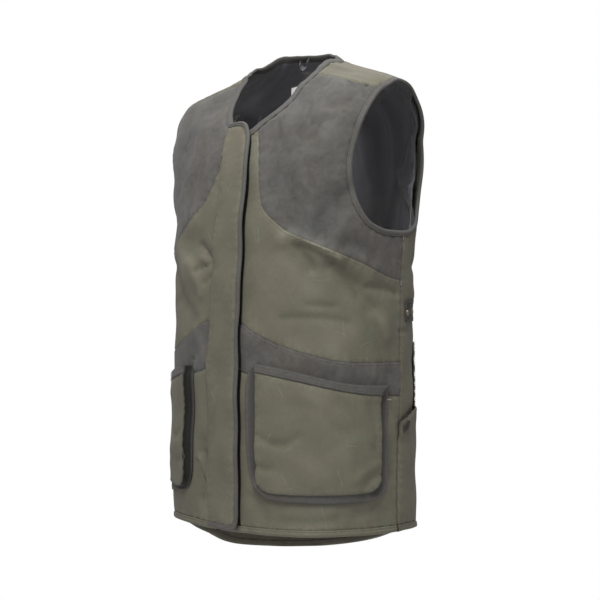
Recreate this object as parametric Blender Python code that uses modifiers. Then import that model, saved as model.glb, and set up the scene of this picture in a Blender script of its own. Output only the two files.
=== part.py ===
"""A long sleeveless gilet for clay shooting, filled out as it is worn, with nobody in it.

Every piece of cloth is cut from one smooth figure. A place on the figure is (angle, level): the angle in
degrees round the body, -90 at the centre front, 0 at the wearer's left and 90 at the centre back, and the
level, which is the height on the body and goes on inwards over the shoulders to the neck. The seams are
drawn on the figure as lines through the rows of short tables, the cloth is meshed between them, and each
piece lies at its own height over the figure, with its wall on the inside.
"""
import math

import bmesh
import bpy
from mathutils import Vector
from mathutils.geometry import delaunay_2d_cdt

NAME = "gilet"
TINY = 1e-4

# Sections of the figure. The ring of a level is a superellipse; z_side, z_front and z_back are its heights.
SECTION_COLUMNS = (
    "level", "z_side", "z_front", "z_back", "half_width", "front", "back", "square_front", "square_back")
SECTIONS = (
    (-0.800, -0.800, -0.800, -0.800, 0.193, 0.152, 0.134, 2.35, 2.35),
    (-0.680, -0.680, -0.680, -0.680, 0.193, 0.152, 0.134, 2.35, 2.35),
    (-0.550, -0.550, -0.550, -0.550, 0.192, 0.152, 0.132, 2.35, 2.35),
    (-0.420, -0.420, -0.420, -0.420, 0.191, 0.152, 0.130, 2.35, 2.35),
    (-0.320, -0.320, -0.320, -0.320, 0.193, 0.150, 0.133, 2.35, 2.30),
    (-0.230, -0.230, -0.230, -0.230, 0.201, 0.143, 0.140, 2.35, 2.25),
    (-0.160, -0.160, -0.160, -0.160, 0.210, 0.132, 0.146, 2.50, 2.20),
    (-0.100, -0.105, -0.112, -0.097, 0.214, 0.115, 0.140, 2.70, 2.20),
    (-0.065, -0.070, -0.088, -0.060, 0.211, 0.100, 0.126, 2.75, 2.15),
    (-0.035, -0.046, -0.066, -0.034, 0.200, 0.084, 0.108, 2.60, 2.15),
    (-0.005, -0.031, -0.048, -0.014, 0.166, 0.070, 0.088, 2.35, 2.10),
    (0.025, -0.019, -0.036, 0.004, 0.124, 0.058, 0.066, 2.15, 2.00),
    (0.055, -0.004, -0.022, 0.021, 0.082, 0.047, 0.046, 2.00, 2.00),
    (0.085, 0.016, -0.004, 0.040, 0.062, 0.038, 0.036, 2.00, 2.00),
)

# Largest folds: a soft ridge (height above 0) or trough (below 0) along a line on the figure.
FOLD_COLUMNS = ("start_angle", "start_level", "end_angle", "end_level", "half_width", "height")
FOLDS = (
    (-58.0, -0.270, -36.0, -0.300, 0.013, 0.0045),
    (-50.0, -0.290, -22.0, -0.338, 0.016, -0.0040),
    (-57.0, -0.284, -46.0, -0.322, 0.014, -0.0030),
    (-28.0, -0.336, -12.0, -0.372, 0.015, -0.0025),
    (-108.0, -0.262, -97.0, -0.306, 0.014, -0.0030),
    (-126.0, -0.276, -110.0, -0.318, 0.016, 0.0030),
    (-101.5, -0.560, -104.0, -0.640, 0.012, -0.0030),
    (40.0, -0.270, 66.0, -0.330, 0.020, -0.0040),
    (140.0, -0.262, 112.0, -0.336, 0.020, -0.0040),
    (72.0, -0.345, 110.0, -0.350, 0.018, -0.0030),
    (52.0, -0.080, 66.0, -0.220, 0.022, 0.0030),
    (128.0, -0.090, 116.0, -0.230, 0.022, 0.0030),
)

# Seam lines, as rows of (angle, level). Those named LEFT are the wearer's left and are mirrored for the right.
NECK = (
    (271.0, -0.086), (268.7, -0.084), (264.0, -0.076), (260.3, -0.055), (257.4, -0.035), (252.1, -0.002),
    (240.0, 0.033), (222.0, 0.050), (198.0, 0.059), (180.0, 0.065), (165.0, 0.073), (150.0, 0.078),
    (135.0, 0.075), (115.0, 0.063), (90.0, 0.053), (65.0, 0.055), (45.0, 0.058), (30.0, 0.060),
    (15.0, 0.062), (0.0, 0.061), (-14.0, 0.057), (-31.3, 0.048), (-51.0, 0.027), (-62.9, 0.000),
    (-68.4, -0.024), (-72.2, -0.052), (-74.9, -0.065), (-79.7, -0.081), (-83.2, -0.096), (-88.7, -0.108),
    (-91.0, -0.112),

)
ARMHOLE_LEFT = (
    (4.9, -0.031), (13.0, -0.036), (22.0, -0.050), (29.0, -0.075), (32.5, -0.100), (34.5, -0.130),
    (35.0, -0.160), (34.0, -0.190), (31.5, -0.215), (27.0, -0.236), (20.0, -0.249), (11.8, -0.255),
    (6.0, -0.256), (-2.5, -0.256), (-10.4, -0.254), (-18.1, -0.246), (-22.7, -0.235), (-26.8, -0.219),
    (-30.0, -0.199), (-32.3, -0.180), (-33.2, -0.163), (-33.3, -0.139), (-32.7, -0.111), (-30.8, -0.089),
    (-26.0, -0.066), (-18.4, -0.050), (-2.5, -0.037),
)
HEM = (
    (-91.0, -0.681), (-80.0, -0.681), (-60.0, -0.681), (-30.0, -0.680), (4.7, -0.681), (27.0, -0.683),
    (45.0, -0.691), (60.0, -0.703), (75.0, -0.721), (90.0, -0.735), (110.0, -0.748), (131.0, -0.754),
    (150.0, -0.752), (163.0, -0.745), (175.3, -0.731), (188.0, -0.716), (198.0, -0.702), (209.0, -0.691),
    (225.0, -0.683), (240.0, -0.681), (260.0, -0.681), (271.0, -0.681),

)
SIDE_LEFT = (
    (6.0, -0.250), (8.0, -0.280), (8.5, -0.326), (8.4, -0.380), (8.2, -0.441), (7.8, -0.490),
    (7.0, -0.527), (5.8, -0.566), (4.7, -0.640), (4.7, -0.740),
)
PATCH_LEFT = (
    (-80.6, -0.070), (-78.9, -0.110), (-76.7, -0.139), (-74.6, -0.170), (-72.9, -0.198), (-70.5, -0.222),
    (-66.6, -0.237), (-62.1, -0.249), (-58.7, -0.257), (-54.0, -0.264), (-47.4, -0.273), (-36.0, -0.287),
    (-23.1, -0.301), (-14.5, -0.311), (-2.0, -0.322), (8.5, -0.326),
)
PATCH_RIGHT = (
    (-84.2, -0.060), (-83.6, -0.095), (-83.8, -0.126), (-83.6, -0.160), (-81.4, -0.181), (-80.0, -0.191),
    (-78.0, -0.204), (-73.8, -0.220), (-66.6, -0.237), (-60.8, -0.248), (-54.0, -0.262), (-47.4, -0.273),
    (-36.0, -0.287), (-23.1, -0.301), (-14.5, -0.311), (-2.0, -0.322), (8.5, -0.326),
)
YOKE_LEFT = (
    (-58.0, 0.036), (-52.0, 0.026), (-47.4, 0.018), (-41.6, -0.012), (-37.3, -0.028), (-31.0, -0.040),
    (-24.9, -0.049), (-16.0, -0.056),
)
BAND_TOP_LEFT = (
    (-88.7, -0.378), (-76.9, -0.388), (-72.1, -0.397), (-64.8, -0.409), (-57.5, -0.418), (-42.7, -0.432),
    (-26.2, -0.440), (8.2, -0.441),
)
BAND_FOOT_LEFT = (
    (-88.7, -0.447), (-83.3, -0.450), (-73.0, -0.459), (-55.0, -0.468), (-35.0, -0.480), (-20.0, -0.486),
    (7.8, -0.490),
)
GAME_POCKET_LEFT = ((90.0, -0.415), (60.0, -0.415), (33.0, -0.415), (33.0, -0.460), (33.0, -0.506))
GAME_POCKET_MOUTH_LEFT = ((33.0, -0.506), (20.0, -0.516), (7.0, -0.527))
FRONT_EDGE = ((-88.7, -0.740), (-88.7, -0.447), (-88.7, -0.378), (-88.7, -0.060))
ZIP = ((-91.3, -0.679), (-88.7, -0.679), (-88.7, -0.104), (-91.3, -0.104))
ADJUSTER_LEFT = ((13.5, -0.384), (34.0, -0.384), (34.0, -0.354), (13.5, -0.354))
MOUTH_PATCH_LEFT = ((8.6, -0.542), (12.6, -0.538), (14.4, -0.527), (10.6, -0.524), (8.0, -0.532))
LINING_FOOT = (
    (-90.0, -0.645), (-40.0, -0.645), (4.7, -0.645), (40.0, -0.660), (90.0, -0.690), (135.0, -0.700),
    (175.3, -0.672), (215.0, -0.650), (270.0, -0.645),
)
NECK_LABEL = ((90.0, -0.036), (118.0, -0.036), (118.0, -0.002), (90.0, -0.002))
STUDS_LEFT = ((16.5, -0.372), (27.0, -0.371))

PLACKET_SEWN = (
    (-98.6, -0.690), (-98.6, -0.679), (-98.7, -0.560), (-98.7, -0.455), (-96.7, -0.411), (-96.2, -0.373),
    (-96.1, -0.314), (-95.0, -0.269), (-94.5, -0.240), (-94.1, -0.182), (-96.0, -0.110), (-96.6, -0.080),
    (-96.8, -0.066),
)
PLACKET_FREE = (
    (-101.0, -0.679), (-94.0, -0.679), (-86.0, -0.679), (-80.3, -0.678), (-78.4, -0.672), (-77.4, -0.658),
    (-77.3, -0.635), (-77.3, -0.537), (-77.3, -0.410), (-76.8, -0.372), (-76.6, -0.301), (-77.1, -0.243),
    (-77.8, -0.185), (-79.6, -0.140), (-81.1, -0.114), (-83.7, -0.096), (-87.0, -0.085), (-91.2, -0.080),
    (-98.5, -0.080),

)
POCKET_TOP = ((-4.5, -0.473), (-22.4, -0.471), (-35.5, -0.465), (-54.8, -0.450), (-68.8, -0.442))
POCKET_BINDING_FOOT = ((-10.5, -0.487), (-22.4, -0.484), (-35.5, -0.477), (-54.8, -0.463), (-68.8, -0.454))
FACE_EDGE = (
    (-68.8, -0.442), (-68.8, -0.454), (-68.8, -0.520), (-68.8, -0.598), (-67.4, -0.612), (-63.8, -0.620),
    (-56.0, -0.622), (-38.0, -0.622), (-22.0, -0.621), (-16.0, -0.618), (-12.4, -0.610), (-11.0, -0.596),
    (-10.6, -0.540), (-10.5, -0.487), (-4.5, -0.473),
)
BASE_EDGE = (
    (-74.4, -0.460), (-75.2, -0.470), (-75.6, -0.520), (-73.8, -0.592), (-70.2, -0.618), (-65.0, -0.630),
    (-56.0, -0.634), (-38.0, -0.635), (-20.0, -0.634), (-11.0, -0.630), (-6.6, -0.621), (-4.9, -0.606),
    (-4.2, -0.540), (-3.8, -0.492), (-3.6, -0.478),

)

# A place inside each region of the outer cloth. LOWER and GAME_POCKET have one over the lining, then one below it.
UPPER = [(-40.0, -0.360)]
LOWER = [(-40.0, -0.600), (-40.0, -0.660)]
PATCH = [(-50.0, -0.180)]
BAND = [(-40.0, -0.455)]
BACK = [(90.0, -0.200)]
GAME_POCKET = [(90.0, -0.550), (90.0, -0.715)]
LABEL = (104.0, -0.018)
TAB = (22.0, -0.369)
MOUTH_PATCH = (10.8, -0.533)

# Sizes of the cloth and the trims, in metres.
SHELL_WALL = 0.0016
LINING_WALL = 0.0008
LINING_OUT = -0.0024
TRIM_WALL = 0.0012
BINDING_WALL = 0.0028
BINDING_OUT = 0.0006
SEAM = 0.0003
NECK_BINDING = 0.010
ARMHOLE_BINDING = 0.008
HEM_BINDING = 0.009
PLACKET_BINDING = 0.007
PLACKET_BINDING_PROUD = 0.0004
PLACKET_OUT = 0.0030
PLACKET_RISE = 0.0045
PLACKET_SPAN = (-98.0, -77.3)
GAME_POCKET_OUT = 0.0021
GAME_POCKET_RISE = 0.0045
GAME_POCKET_EASE = 0.030
GAME_POCKET_HALF = 57.0
GAME_POCKET_TOP = -0.415
GAME_POCKET_FLAT = (-0.600, -0.530)
POCKET_DEPTH = 0.0085
POCKET_LEAN = 0.0025
POCKET_BULGE = 0.0012
POCKET_SPAN = (-40.0, 30.0, -0.560, 0.080)
GUSSET_FOOT = 0.0009
GUSSET_PLEAT = 0.0040
LEATHER_OUT = 0.0020
LABEL_WALL = 0.0006
STUD_RADIUS = 0.0045
STUD_HEIGHT = 0.0018
STUD_FACETS = 16
LOOP_ANGLES = (98.5, 109.5)
LOOP_LEVEL = 0.053
LOOP_DROP = 0.014
LOOP_REACH = 0.006
LOOP_WIDTH = 0.004
LOOP_OUT = -0.0031
LOOP_PARTS = 12

# Spacing of the mesh.
CLOTH_STEP = 0.026
TRIM_STEP = 0.018
POCKET_STEP = 0.020
BINDING_STEP = 0.020
ARMHOLE_STEP = 0.013
METRES_A_DEGREE = 0.0028
ROW_HEIGHT = math.sqrt(0.75)
CLEARANCE = 0.55
SHARPEST = 0.4

FINISHES = {
    "waxed_cotton": ((0.150, 0.145, 0.105, 1.0), 0.62),
    "brushed_grey": ((0.118, 0.118, 0.108, 1.0), 0.85),
    "grey_binding": ((0.100, 0.100, 0.092, 1.0), 0.75),
    "black_lining": ((0.018, 0.018, 0.022, 1.0), 0.55),
    "brown_leather": ((0.050, 0.030, 0.020, 1.0), 0.50),
    "white_label": ((0.800, 0.800, 0.780, 1.0), 0.60),
    "zip_tape": ((0.030, 0.030, 0.028, 1.0), 0.50),
    "antique_brass": ((0.420, 0.380, 0.300, 1.0), 0.35),
}


def clear_scene():
    """Removes whatever the file opened with."""
    for old in list(bpy.data.objects):
        bpy.data.objects.remove(old, do_unlink=True)


def section_at(level):
    """The figure's section at a level, smoothly between the rows of SECTIONS."""
    levels = [row[0] for row in SECTIONS]
    level = min(max(level, levels[0]), levels[-1])
    last = len(SECTIONS) - 1
    low = max(i for i in range(last) if levels[i] <= level)
    width = levels[low + 1] - levels[low]
    t = (level - levels[low]) / width

    def slope(i, column):
        here, there = max(i - 1, 0), min(i + 1, last)
        return (SECTIONS[there][column] - SECTIONS[here][column]) / (levels[there] - levels[here])

    values = {}
    for column, name in enumerate(SECTION_COLUMNS):
        a, b = SECTIONS[low][column], SECTIONS[low + 1][column]
        run_a, run_b = slope(low, column) * width, slope(low + 1, column) * width
        values[name] = (
            a + t * run_a
            + t * t * (3 * (b - a) - 2 * run_a - run_b)
            + t * t * t * (2 * (a - b) + run_a + run_b))
    return values


def form(angle, level):
    """The point of the smooth figure at an angle and level."""
    row = section_at(level)
    c, s = math.cos(math.radians(angle)), math.sin(math.radians(angle))
    front = s < 0
    power = row["square_front"] if front else row["square_back"]
    reach = (abs(c) ** power + abs(s) ** power) ** (-1 / power)
    depth = row["front"] if front else row["back"]
    z_middle = row["z_front"] if front else row["z_back"]
    return Vector((
        row["half_width"] * reach * c,
        depth * reach * s,
        row["z_side"] * c * c + z_middle * s * s))


def steps(angle, level):
    """How the figure moves for a degree and for a metre of level."""
    by_angle = (form(angle + 0.2, level) - form(angle - 0.2, level)) / 0.4
    by_level = (form(angle, level + 0.0005) - form(angle, level - 0.0005)) / 0.001
    return by_angle, by_level


def outward(angle, level):
    """The unit normal of the figure, pointing away from the body."""
    by_angle, by_level = steps(angle, level)
    return by_angle.cross(by_level).normalized()


def turned(angle):
    """The angle brought between -180 and 180."""
    return (angle + 180.0) % 360.0 - 180.0


def relief(angle, level):
    """How far the folds lift the cloth at a place."""
    total = 0.0
    for fold in FOLDS:
        row = dict(zip(FOLD_COLUMNS, fold))
        run = Vector((
            turned(row["end_angle"] - row["start_angle"]) * METRES_A_DEGREE,
            row["end_level"] - row["start_level"]))
        place = Vector((
            turned(angle - row["start_angle"]) * METRES_A_DEGREE,
            level - row["start_level"]))
        along = place.dot(run) / run.length_squared
        ends = max(abs(along - 0.5) - 0.5, 0.0) * run.length
        across = (place - along * run).length
        size = row["half_width"]
        total += row["height"] * math.exp(-(across / size) ** 2 - (ends / size) ** 2)
    return total


def surface(angle, level, out=0.0):
    """A point of the cloth, out metres over the figure with its folds."""
    return form(angle, level) + outward(angle, level) * (out + relief(angle, level))


def mirrored(rows):
    """The same line on the other side of the body."""
    return tuple((180.0 - angle, level) for angle, level in rows)


def line(rows, step, closed=False, smooth=True):
    """Points about step apart on a curve through the rows, which stay among the points."""
    rows = [Vector(row) for row in rows]
    count = len(rows)
    spans = count if closed else count - 1
    points = []
    for i in range(spans):
        a, b = rows[i], rows[(i + 1) % count]
        before = rows[i - 1] if closed or i else a
        after = rows[(i + 2) % count] if closed or i + 2 < count else b
        length = (form(*b) - form(*a)).length
        pieces = max(1, round(length / step))
        for k in range(pieces):
            t = k / pieces
            straight = a.lerp(b, t)
            if not smooth:
                points.append(straight)
                continue
            run_a, run_b = (b - before) / 2, (after - a) / 2
            points.append(
                a + t * run_a
                + t * t * (3 * (b - a) - 2 * run_a - run_b)
                + t * t * t * (2 * (a - b) + run_a + run_b))
    if not closed:
        points.append(rows[-1])
    return points


def inset(points, distance, closed=False):
    """The line moved on the figure by a distance to its left, as seen from outside."""
    moved = []
    count = len(points)
    for i, (angle, level) in enumerate(points):
        before = points[i - 1] if closed or i else points[i]
        after = points[(i + 1) % count] if closed or i + 1 < count else points[i]
        along = (form(*after) - form(*before)).normalized()
        left = outward(angle, level).cross(along)
        by_angle, by_level = steps(angle, level)
        aa, ll, al = by_angle.dot(by_angle), by_level.dot(by_level), by_angle.dot(by_level)
        ra, rl = left.dot(by_angle), left.dot(by_level)
        whole = aa * ll - al * al
        moved.append(Vector((
            angle + distance * (ra * ll - rl * al) / whole,
            level + distance * (rl * aa - ra * al) / whole)))
    return moved


class Cloth:
    """A mesh on the figure, divided along seam lines into regions."""

    def __init__(self, lines, step):
        """Meshes the box round all lines. A line is (points, closed)."""
        coords = []
        edges = []
        for points, closed in lines:
            first = len(coords)
            coords += [self.flat(point) for point in points]
            edges += [(first + i, first + i + 1) for i in range(len(points) - 1)]
            if closed:
                edges.append((len(coords) - 1, first))
        coords += self.filling(coords, step)
        result = delaunay_2d_cdt(coords, edges, [], 0, TINY / 10)
        self.places = [(point.x / METRES_A_DEGREE, point.y) for point in result[0]]
        self.faces = result[2]
        walls = {tuple(sorted(edge)) for edge, sources in zip(result[1], result[4]) if sources}
        self.sides = {}
        for number, face in enumerate(self.faces):
            for a, b in zip(face, face[1:] + face[:1]):
                self.sides.setdefault(tuple(sorted((a, b))), []).append(number)
        self.links = {}
        for edge, owners in self.sides.items():
            if edge not in walls and len(owners) == 2:
                self.links.setdefault(owners[0], []).append(owners[1])
                self.links.setdefault(owners[1], []).append(owners[0])

    @staticmethod
    def flat(place):
        """A place as metres on a flat map of the figure."""
        return Vector((place[0] * METRES_A_DEGREE, place[1]))

    @staticmethod
    def filling(coords, step):
        """Staggered points between the lines, none close to a line."""
        low_x, high_x = min(p.x for p in coords), max(p.x for p in coords)
        low_y, high_y = min(p.y for p in coords), max(p.y for p in coords)
        taken = {}
        for p in coords:
            taken.setdefault((int(p.x // step), int(p.y // step)), []).append(p)
        found = []
        rows = int((high_y - low_y) / (step * ROW_HEIGHT))
        columns = int((high_x - low_x) / step)
        for j in range(rows + 1):
            for i in range(columns + 1):
                x = low_x + (i + 0.5 * (j % 2) + 0.25) * step
                p = Vector((x, low_y + j * step * ROW_HEIGHT))
                cell = (int(p.x // step), int(p.y // step))
                near = [
                    q for dx in (-1, 0, 1) for dy in (-1, 0, 1)
                    for q in taken.get((cell[0] + dx, cell[1] + dy), [])]
                if all((p - q).length > CLEARANCE * step for q in near):
                    found.append(p)
        return found

    def region(self, seed):
        """Numbers of the faces that hold a place, up to the seam lines round it."""
        spot = self.flat(seed)
        start = next(
            number for number, face in enumerate(self.faces)
            if self.holds([self.flat(self.places[i]) for i in face], spot))
        found = {start}
        todo = [start]
        while todo:
            for other in self.links.get(todo.pop(), []):
                if other not in found:
                    found.add(other)
                    todo.append(other)
        return found

    @staticmethod
    def holds(corners, spot):
        """Whether a face, counterclockwise on the map, holds a point."""
        return all(
            (b - a).cross(spot - a) >= 0 for a, b in zip(corners, corners[1:] + corners[:1]))

    def piece(self, seeds, out, lift=None):
        """Points and faces of the regions at the seeds, drawn back from the seams by half a gap."""
        numbers = sorted(set().union(*(self.region(seed) for seed in seeds)))
        edges = {}
        for number in numbers:
            face = self.faces[number]
            for a, b in zip(face, face[1:] + face[:1]):
                edges[(a, b)] = True
        rim = [(a, b) for a, b in edges if (b, a) not in edges]
        following = dict(rim)
        leading = {b: a for a, b in rim}
        used = sorted({i for number in numbers for i in self.faces[number]})
        points = []
        for i in used:
            angle, level = self.places[i]
            height = out + (lift(angle, level) if lift else 0.0)
            point = surface(angle, level, height)
            if i in following:
                point += self.draw_back(i, leading[i], following[i])
            points.append((point, outward(angle, level)))
        index = {old: new for new, old in enumerate(used)}
        faces = [[index[i] for i in self.faces[number]] for number in numbers]
        return points, faces

    def draw_back(self, here, before, after):
        """The move that takes a rim point half a seam gap into its piece."""
        at = form(*self.places[here])
        up = outward(*self.places[here])
        first = (at - form(*self.places[before])).normalized()
        second = (form(*self.places[after]) - at).normalized()
        left = up.cross(first) + up.cross(second)
        if left.length < TINY:
            return up.cross(first) * (SEAM / 2)
        left.normalize()
        return left * (SEAM / 2) / max(left.dot(up.cross(first)), SHARPEST)


def material(finish):
    """The plain material of a finish, made once."""
    found = bpy.data.materials.get(finish)
    if found:
        return found
    colour, roughness = FINISHES[finish]
    made = bpy.data.materials.new(finish)
    made.use_nodes = True
    shader = made.node_tree.nodes["Principled BSDF"]
    shader.inputs["Base Color"].default_value = colour
    shader.inputs["Roughness"].default_value = roughness
    made.diffuse_color = colour
    return made


def add_object(collection, name, points, faces, finish):
    """A mesh object with its material."""
    mesh = bpy.data.meshes.new(name)
    mesh.from_pydata([tuple(point) for point in points], [], faces)
    mesh.update()
    mesh.materials.append(material(finish))
    made = bpy.data.objects.new(name, mesh)
    collection.objects.link(made)
    return made


def shell(collection, name, points, faces, wall, finish):
    """A closed wall of cloth on the figure. A point is (place, normal), on the wall's outer side."""
    count = len(points)
    corners = [place for place, up in points] + [place - up * wall for place, up in points]
    edges = {(a, b) for face in faces for a, b in zip(face, face[1:] + face[:1])}
    rim = sorted((a, b) for a, b in edges if (b, a) not in edges)
    inner = [[i + count for i in reversed(face)] for face in faces]
    ends = [[b, a, a + count, b + count] for a, b in rim]
    return add_object(collection, name, corners, faces + inner + ends, finish)


def grid_faces(rows):
    """Faces between rows of equal length, numbered row by row."""
    width = len(rows[0])
    faces = []
    for i in range(len(rows) - 1):
        here, there = i * width, (i + 1) * width
        for j in range(width - 1):
            faces.append([here + j, here + j + 1, there + j + 1, there + j])
    return faces


def free_wall(collection, name, rows, wall, finish):
    """A wall of cloth under rows of points that don't lie on the figure."""
    points = [point for row in rows for point in row]
    made = add_object(collection, name, points, grid_faces(rows), finish)
    solidify = made.modifiers.new("wall", "SOLIDIFY")
    solidify.thickness = wall
    solidify.offset = -1.0
    solidify.use_rim = True
    return made


def garment_lines():
    """The edges of the whole garment, each with its binding's inner line."""
    neck = line(NECK, BINDING_STEP)
    hem = line(HEM, BINDING_STEP)
    left = line(ARMHOLE_LEFT, ARMHOLE_STEP, closed=True)
    right = list(reversed([Vector(place) for place in mirrored(left)]))
    return {"neck": neck, "hem": hem, "armhole_left": left, "armhole_right": right}


def bound_lines(edge, width, closed=False):
    """An edge and the inner line of its binding, as seam lines."""
    return [(edge, closed), (inset(edge, width, closed), closed)]


def bound_seeds(edge, width, closed=False, start=-360.0, end=360.0):
    """Places along the middle of a binding, from one angle to another."""
    middle = inset(edge, width / 2, closed)
    return [place for place in middle[0 if closed else 1:len(middle) if closed else -1]
            if start < place[0] < end]


def cut_shell(edges):
    """The outer cloth with all its seams."""
    both = []
    for rows in (SIDE_LEFT, YOKE_LEFT, BAND_TOP_LEFT, BAND_FOOT_LEFT, GAME_POCKET_LEFT):
        both += [(line(rows, CLOTH_STEP), False), (line(mirrored(rows), CLOTH_STEP), False)]
    for rows in (GAME_POCKET_MOUTH_LEFT, FRONT_EDGE):
        both += [
            (line(rows, CLOTH_STEP, smooth=False), False),
            (line(mirrored(rows), CLOTH_STEP, smooth=False), False)]
    for rows in (ADJUSTER_LEFT, MOUTH_PATCH_LEFT):
        both += [
            (line(rows, TRIM_STEP, True, False), True),
            (line(mirrored(rows), TRIM_STEP, True, False), True)]
    both += [
        (line(PATCH_LEFT, CLOTH_STEP), False),
        (line(mirrored(PATCH_RIGHT), CLOTH_STEP), False),
        (line(LINING_FOOT, CLOTH_STEP), False),
        (line(NECK_LABEL, TRIM_STEP, True, False), True),
    ]
    both += bound_lines(edges["neck"], NECK_BINDING)
    both += bound_lines(edges["hem"], HEM_BINDING)
    both += bound_lines(edges["armhole_left"], ARMHOLE_BINDING, True)
    both += bound_lines(edges["armhole_right"], ARMHOLE_BINDING, True)
    return Cloth(both, CLOTH_STEP)


def game_pocket_lift(angle, level):
    """The back game pocket stands open along its two side mouths."""
    flat, open_wide = GAME_POCKET_FLAT
    from_mouth = (abs(90.0 - angle) - GAME_POCKET_HALF) * METRES_A_DEGREE + 0.5 * GAME_POCKET_EASE
    ease = min(max(from_mouth / GAME_POCKET_EASE, 0.0), 1.0)
    fade = min(max((GAME_POCKET_TOP - level) / GAME_POCKET_EASE, 0.0), 1.0)
    fade *= min(max((level - flat) / (open_wide - flat), 0.0), 1.0)
    return GAME_POCKET_RISE * ease * ease * (3 - 2 * ease) * fade


def both_sides(seeds):
    """The same seeds on the wearer's left, and mirrored on the right."""
    return {"left": seeds, "right": list(mirrored(seeds))}


def make_shell(collection, cloth):
    """Fronts, chest patches, waist bands, back, game pocket and the leather that lies on them."""
    for stem, seeds, finish in (
            ("front_upper_", UPPER, "waxed_cotton"), ("front_lower_", LOWER, "waxed_cotton"),
            ("chest_patch_", PATCH, "brushed_grey"), ("waist_band_", BAND, "brushed_grey")):
        for side, here in both_sides(seeds).items():
            points, faces = cloth.piece(here, 0.0)
            shell(collection, stem + side, points, faces, SHELL_WALL, finish)
    tabs, mouths = both_sides([TAB]), both_sides([MOUTH_PATCH])
    on_back = tabs["left"] + tabs["right"]
    on_pocket = mouths["left"] + mouths["right"]
    points, faces = cloth.piece(BACK + [LABEL] + GAME_POCKET + on_back + on_pocket, 0.0)
    shell(collection, "back", points, faces, SHELL_WALL, "waxed_cotton")
    points, faces = cloth.piece(GAME_POCKET + on_pocket, GAME_POCKET_OUT, game_pocket_lift)
    shell(collection, "game_pocket", points, faces, SHELL_WALL, "waxed_cotton")
    for side in ("left", "right"):
        points, faces = cloth.piece(tabs[side], LEATHER_OUT)
        shell(collection, "waist_adjuster_" + side, points, faces, SHELL_WALL, "brown_leather")
        points, faces = cloth.piece(mouths[side], GAME_POCKET_OUT + LEATHER_OUT, game_pocket_lift)
        shell(collection, "pocket_mouth_patch_" + side, points, faces, SHELL_WALL, "brown_leather")


def make_lining(collection, cloth):
    """The lining, which shows through the neck and the armholes, and the label on it."""
    front = both_sides(UPPER + PATCH + BAND + LOWER[:1])
    tabs, mouths = both_sides([TAB, MOUTH_PATCH]).values()
    back = BACK + [LABEL] + GAME_POCKET[:1] + tabs + mouths
    for name, seeds in (
            ("lining_front_left", front["left"]), ("lining_front_right", front["right"]),
            ("lining_back", back)):
        points, faces = cloth.piece(seeds, LINING_OUT)
        shell(collection, name, points, faces, LINING_WALL, "black_lining")
    points, faces = cloth.piece([LABEL], LINING_OUT - LINING_WALL - SEAM)
    shell(collection, "neck_label", points, faces, LABEL_WALL, "white_label")


def make_bindings(collection, cloth, edges):
    """The bindings of the neck, the armholes and the three hems."""
    rings = [("neck_binding", bound_seeds(edges["neck"], NECK_BINDING), "grey_binding")]
    for side in ("left", "right"):
        seeds = bound_seeds(edges["armhole_" + side], ARMHOLE_BINDING, True)
        rings.append(("armhole_binding_" + side, seeds, "grey_binding"))
    seams = (SIDE_LEFT[-1][0], 180.0 - SIDE_LEFT[-1][0])
    for name, start, end in (
            ("hem_binding_front_left", -90.0, seams[0]),
            ("hem_binding_front_right", seams[1], 270.0)):
        rings.append((name, bound_seeds(edges["hem"], HEM_BINDING, False, start, end), "waxed_cotton"))
    for name, seeds, finish in rings:
        points, faces = cloth.piece(seeds, BINDING_OUT)
        shell(collection, name, points, faces, BINDING_WALL, finish)
    seeds = bound_seeds(edges["hem"], HEM_BINDING, False, *seams)
    points, faces = cloth.piece(seeds, BINDING_OUT + GAME_POCKET_OUT)
    shell(collection, "hem_binding_back", points, faces, BINDING_WALL + GAME_POCKET_OUT, "waxed_cotton")


def placket_lift(angle, level):
    """The placket is sewn down on the wearer's right and rises to its free edge."""
    sewn, free = PLACKET_SPAN
    across = min(max((angle - sewn) / (free - sewn), 0.0), 1.0)
    return PLACKET_RISE * across


def make_placket(collection):
    """The flap over the zip, its bound edge, and the zip's closed strip."""
    free = line(PLACKET_FREE, TRIM_STEP)
    sewn = line(PLACKET_SEWN, TRIM_STEP)
    foot = line((PLACKET_SEWN[0], PLACKET_FREE[0]), TRIM_STEP, smooth=False)
    cloth = Cloth([(sewn, False), (foot, False)] + bound_lines(free, PLACKET_BINDING), TRIM_STEP)
    points, faces = cloth.piece([(-88.0, -0.400)], PLACKET_OUT, placket_lift)
    shell(collection, "placket", points, faces, SHELL_WALL, "waxed_cotton")
    points, faces = cloth.piece(
        bound_seeds(free, PLACKET_BINDING), PLACKET_OUT + PLACKET_BINDING_PROUD, placket_lift)
    shell(
        collection, "placket_binding", points, faces, SHELL_WALL + PLACKET_BINDING_PROUD,
        "grey_binding")
    strip = Cloth([(line(ZIP, TRIM_STEP, True, False), True)], TRIM_STEP)
    points, faces = strip.piece([(-90.0, -0.400)], 0.0)
    shell(collection, "front_zip", points, faces, SHELL_WALL, "zip_tape")


def pocket_lift(angle, level):
    """How far a pocket's face stands off the front, more towards the placket."""
    middle, half_angle, centre, half_level = POCKET_SPAN
    across = (abs(turned(90.0 + angle)) - 90.0 - middle) / half_angle
    up = (level - centre) / half_level
    lean = POCKET_LEAN * min(across, 0.0) ** 2
    return POCKET_DEPTH + lean + POCKET_BULGE * math.exp(-across * across - up * up)


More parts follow.
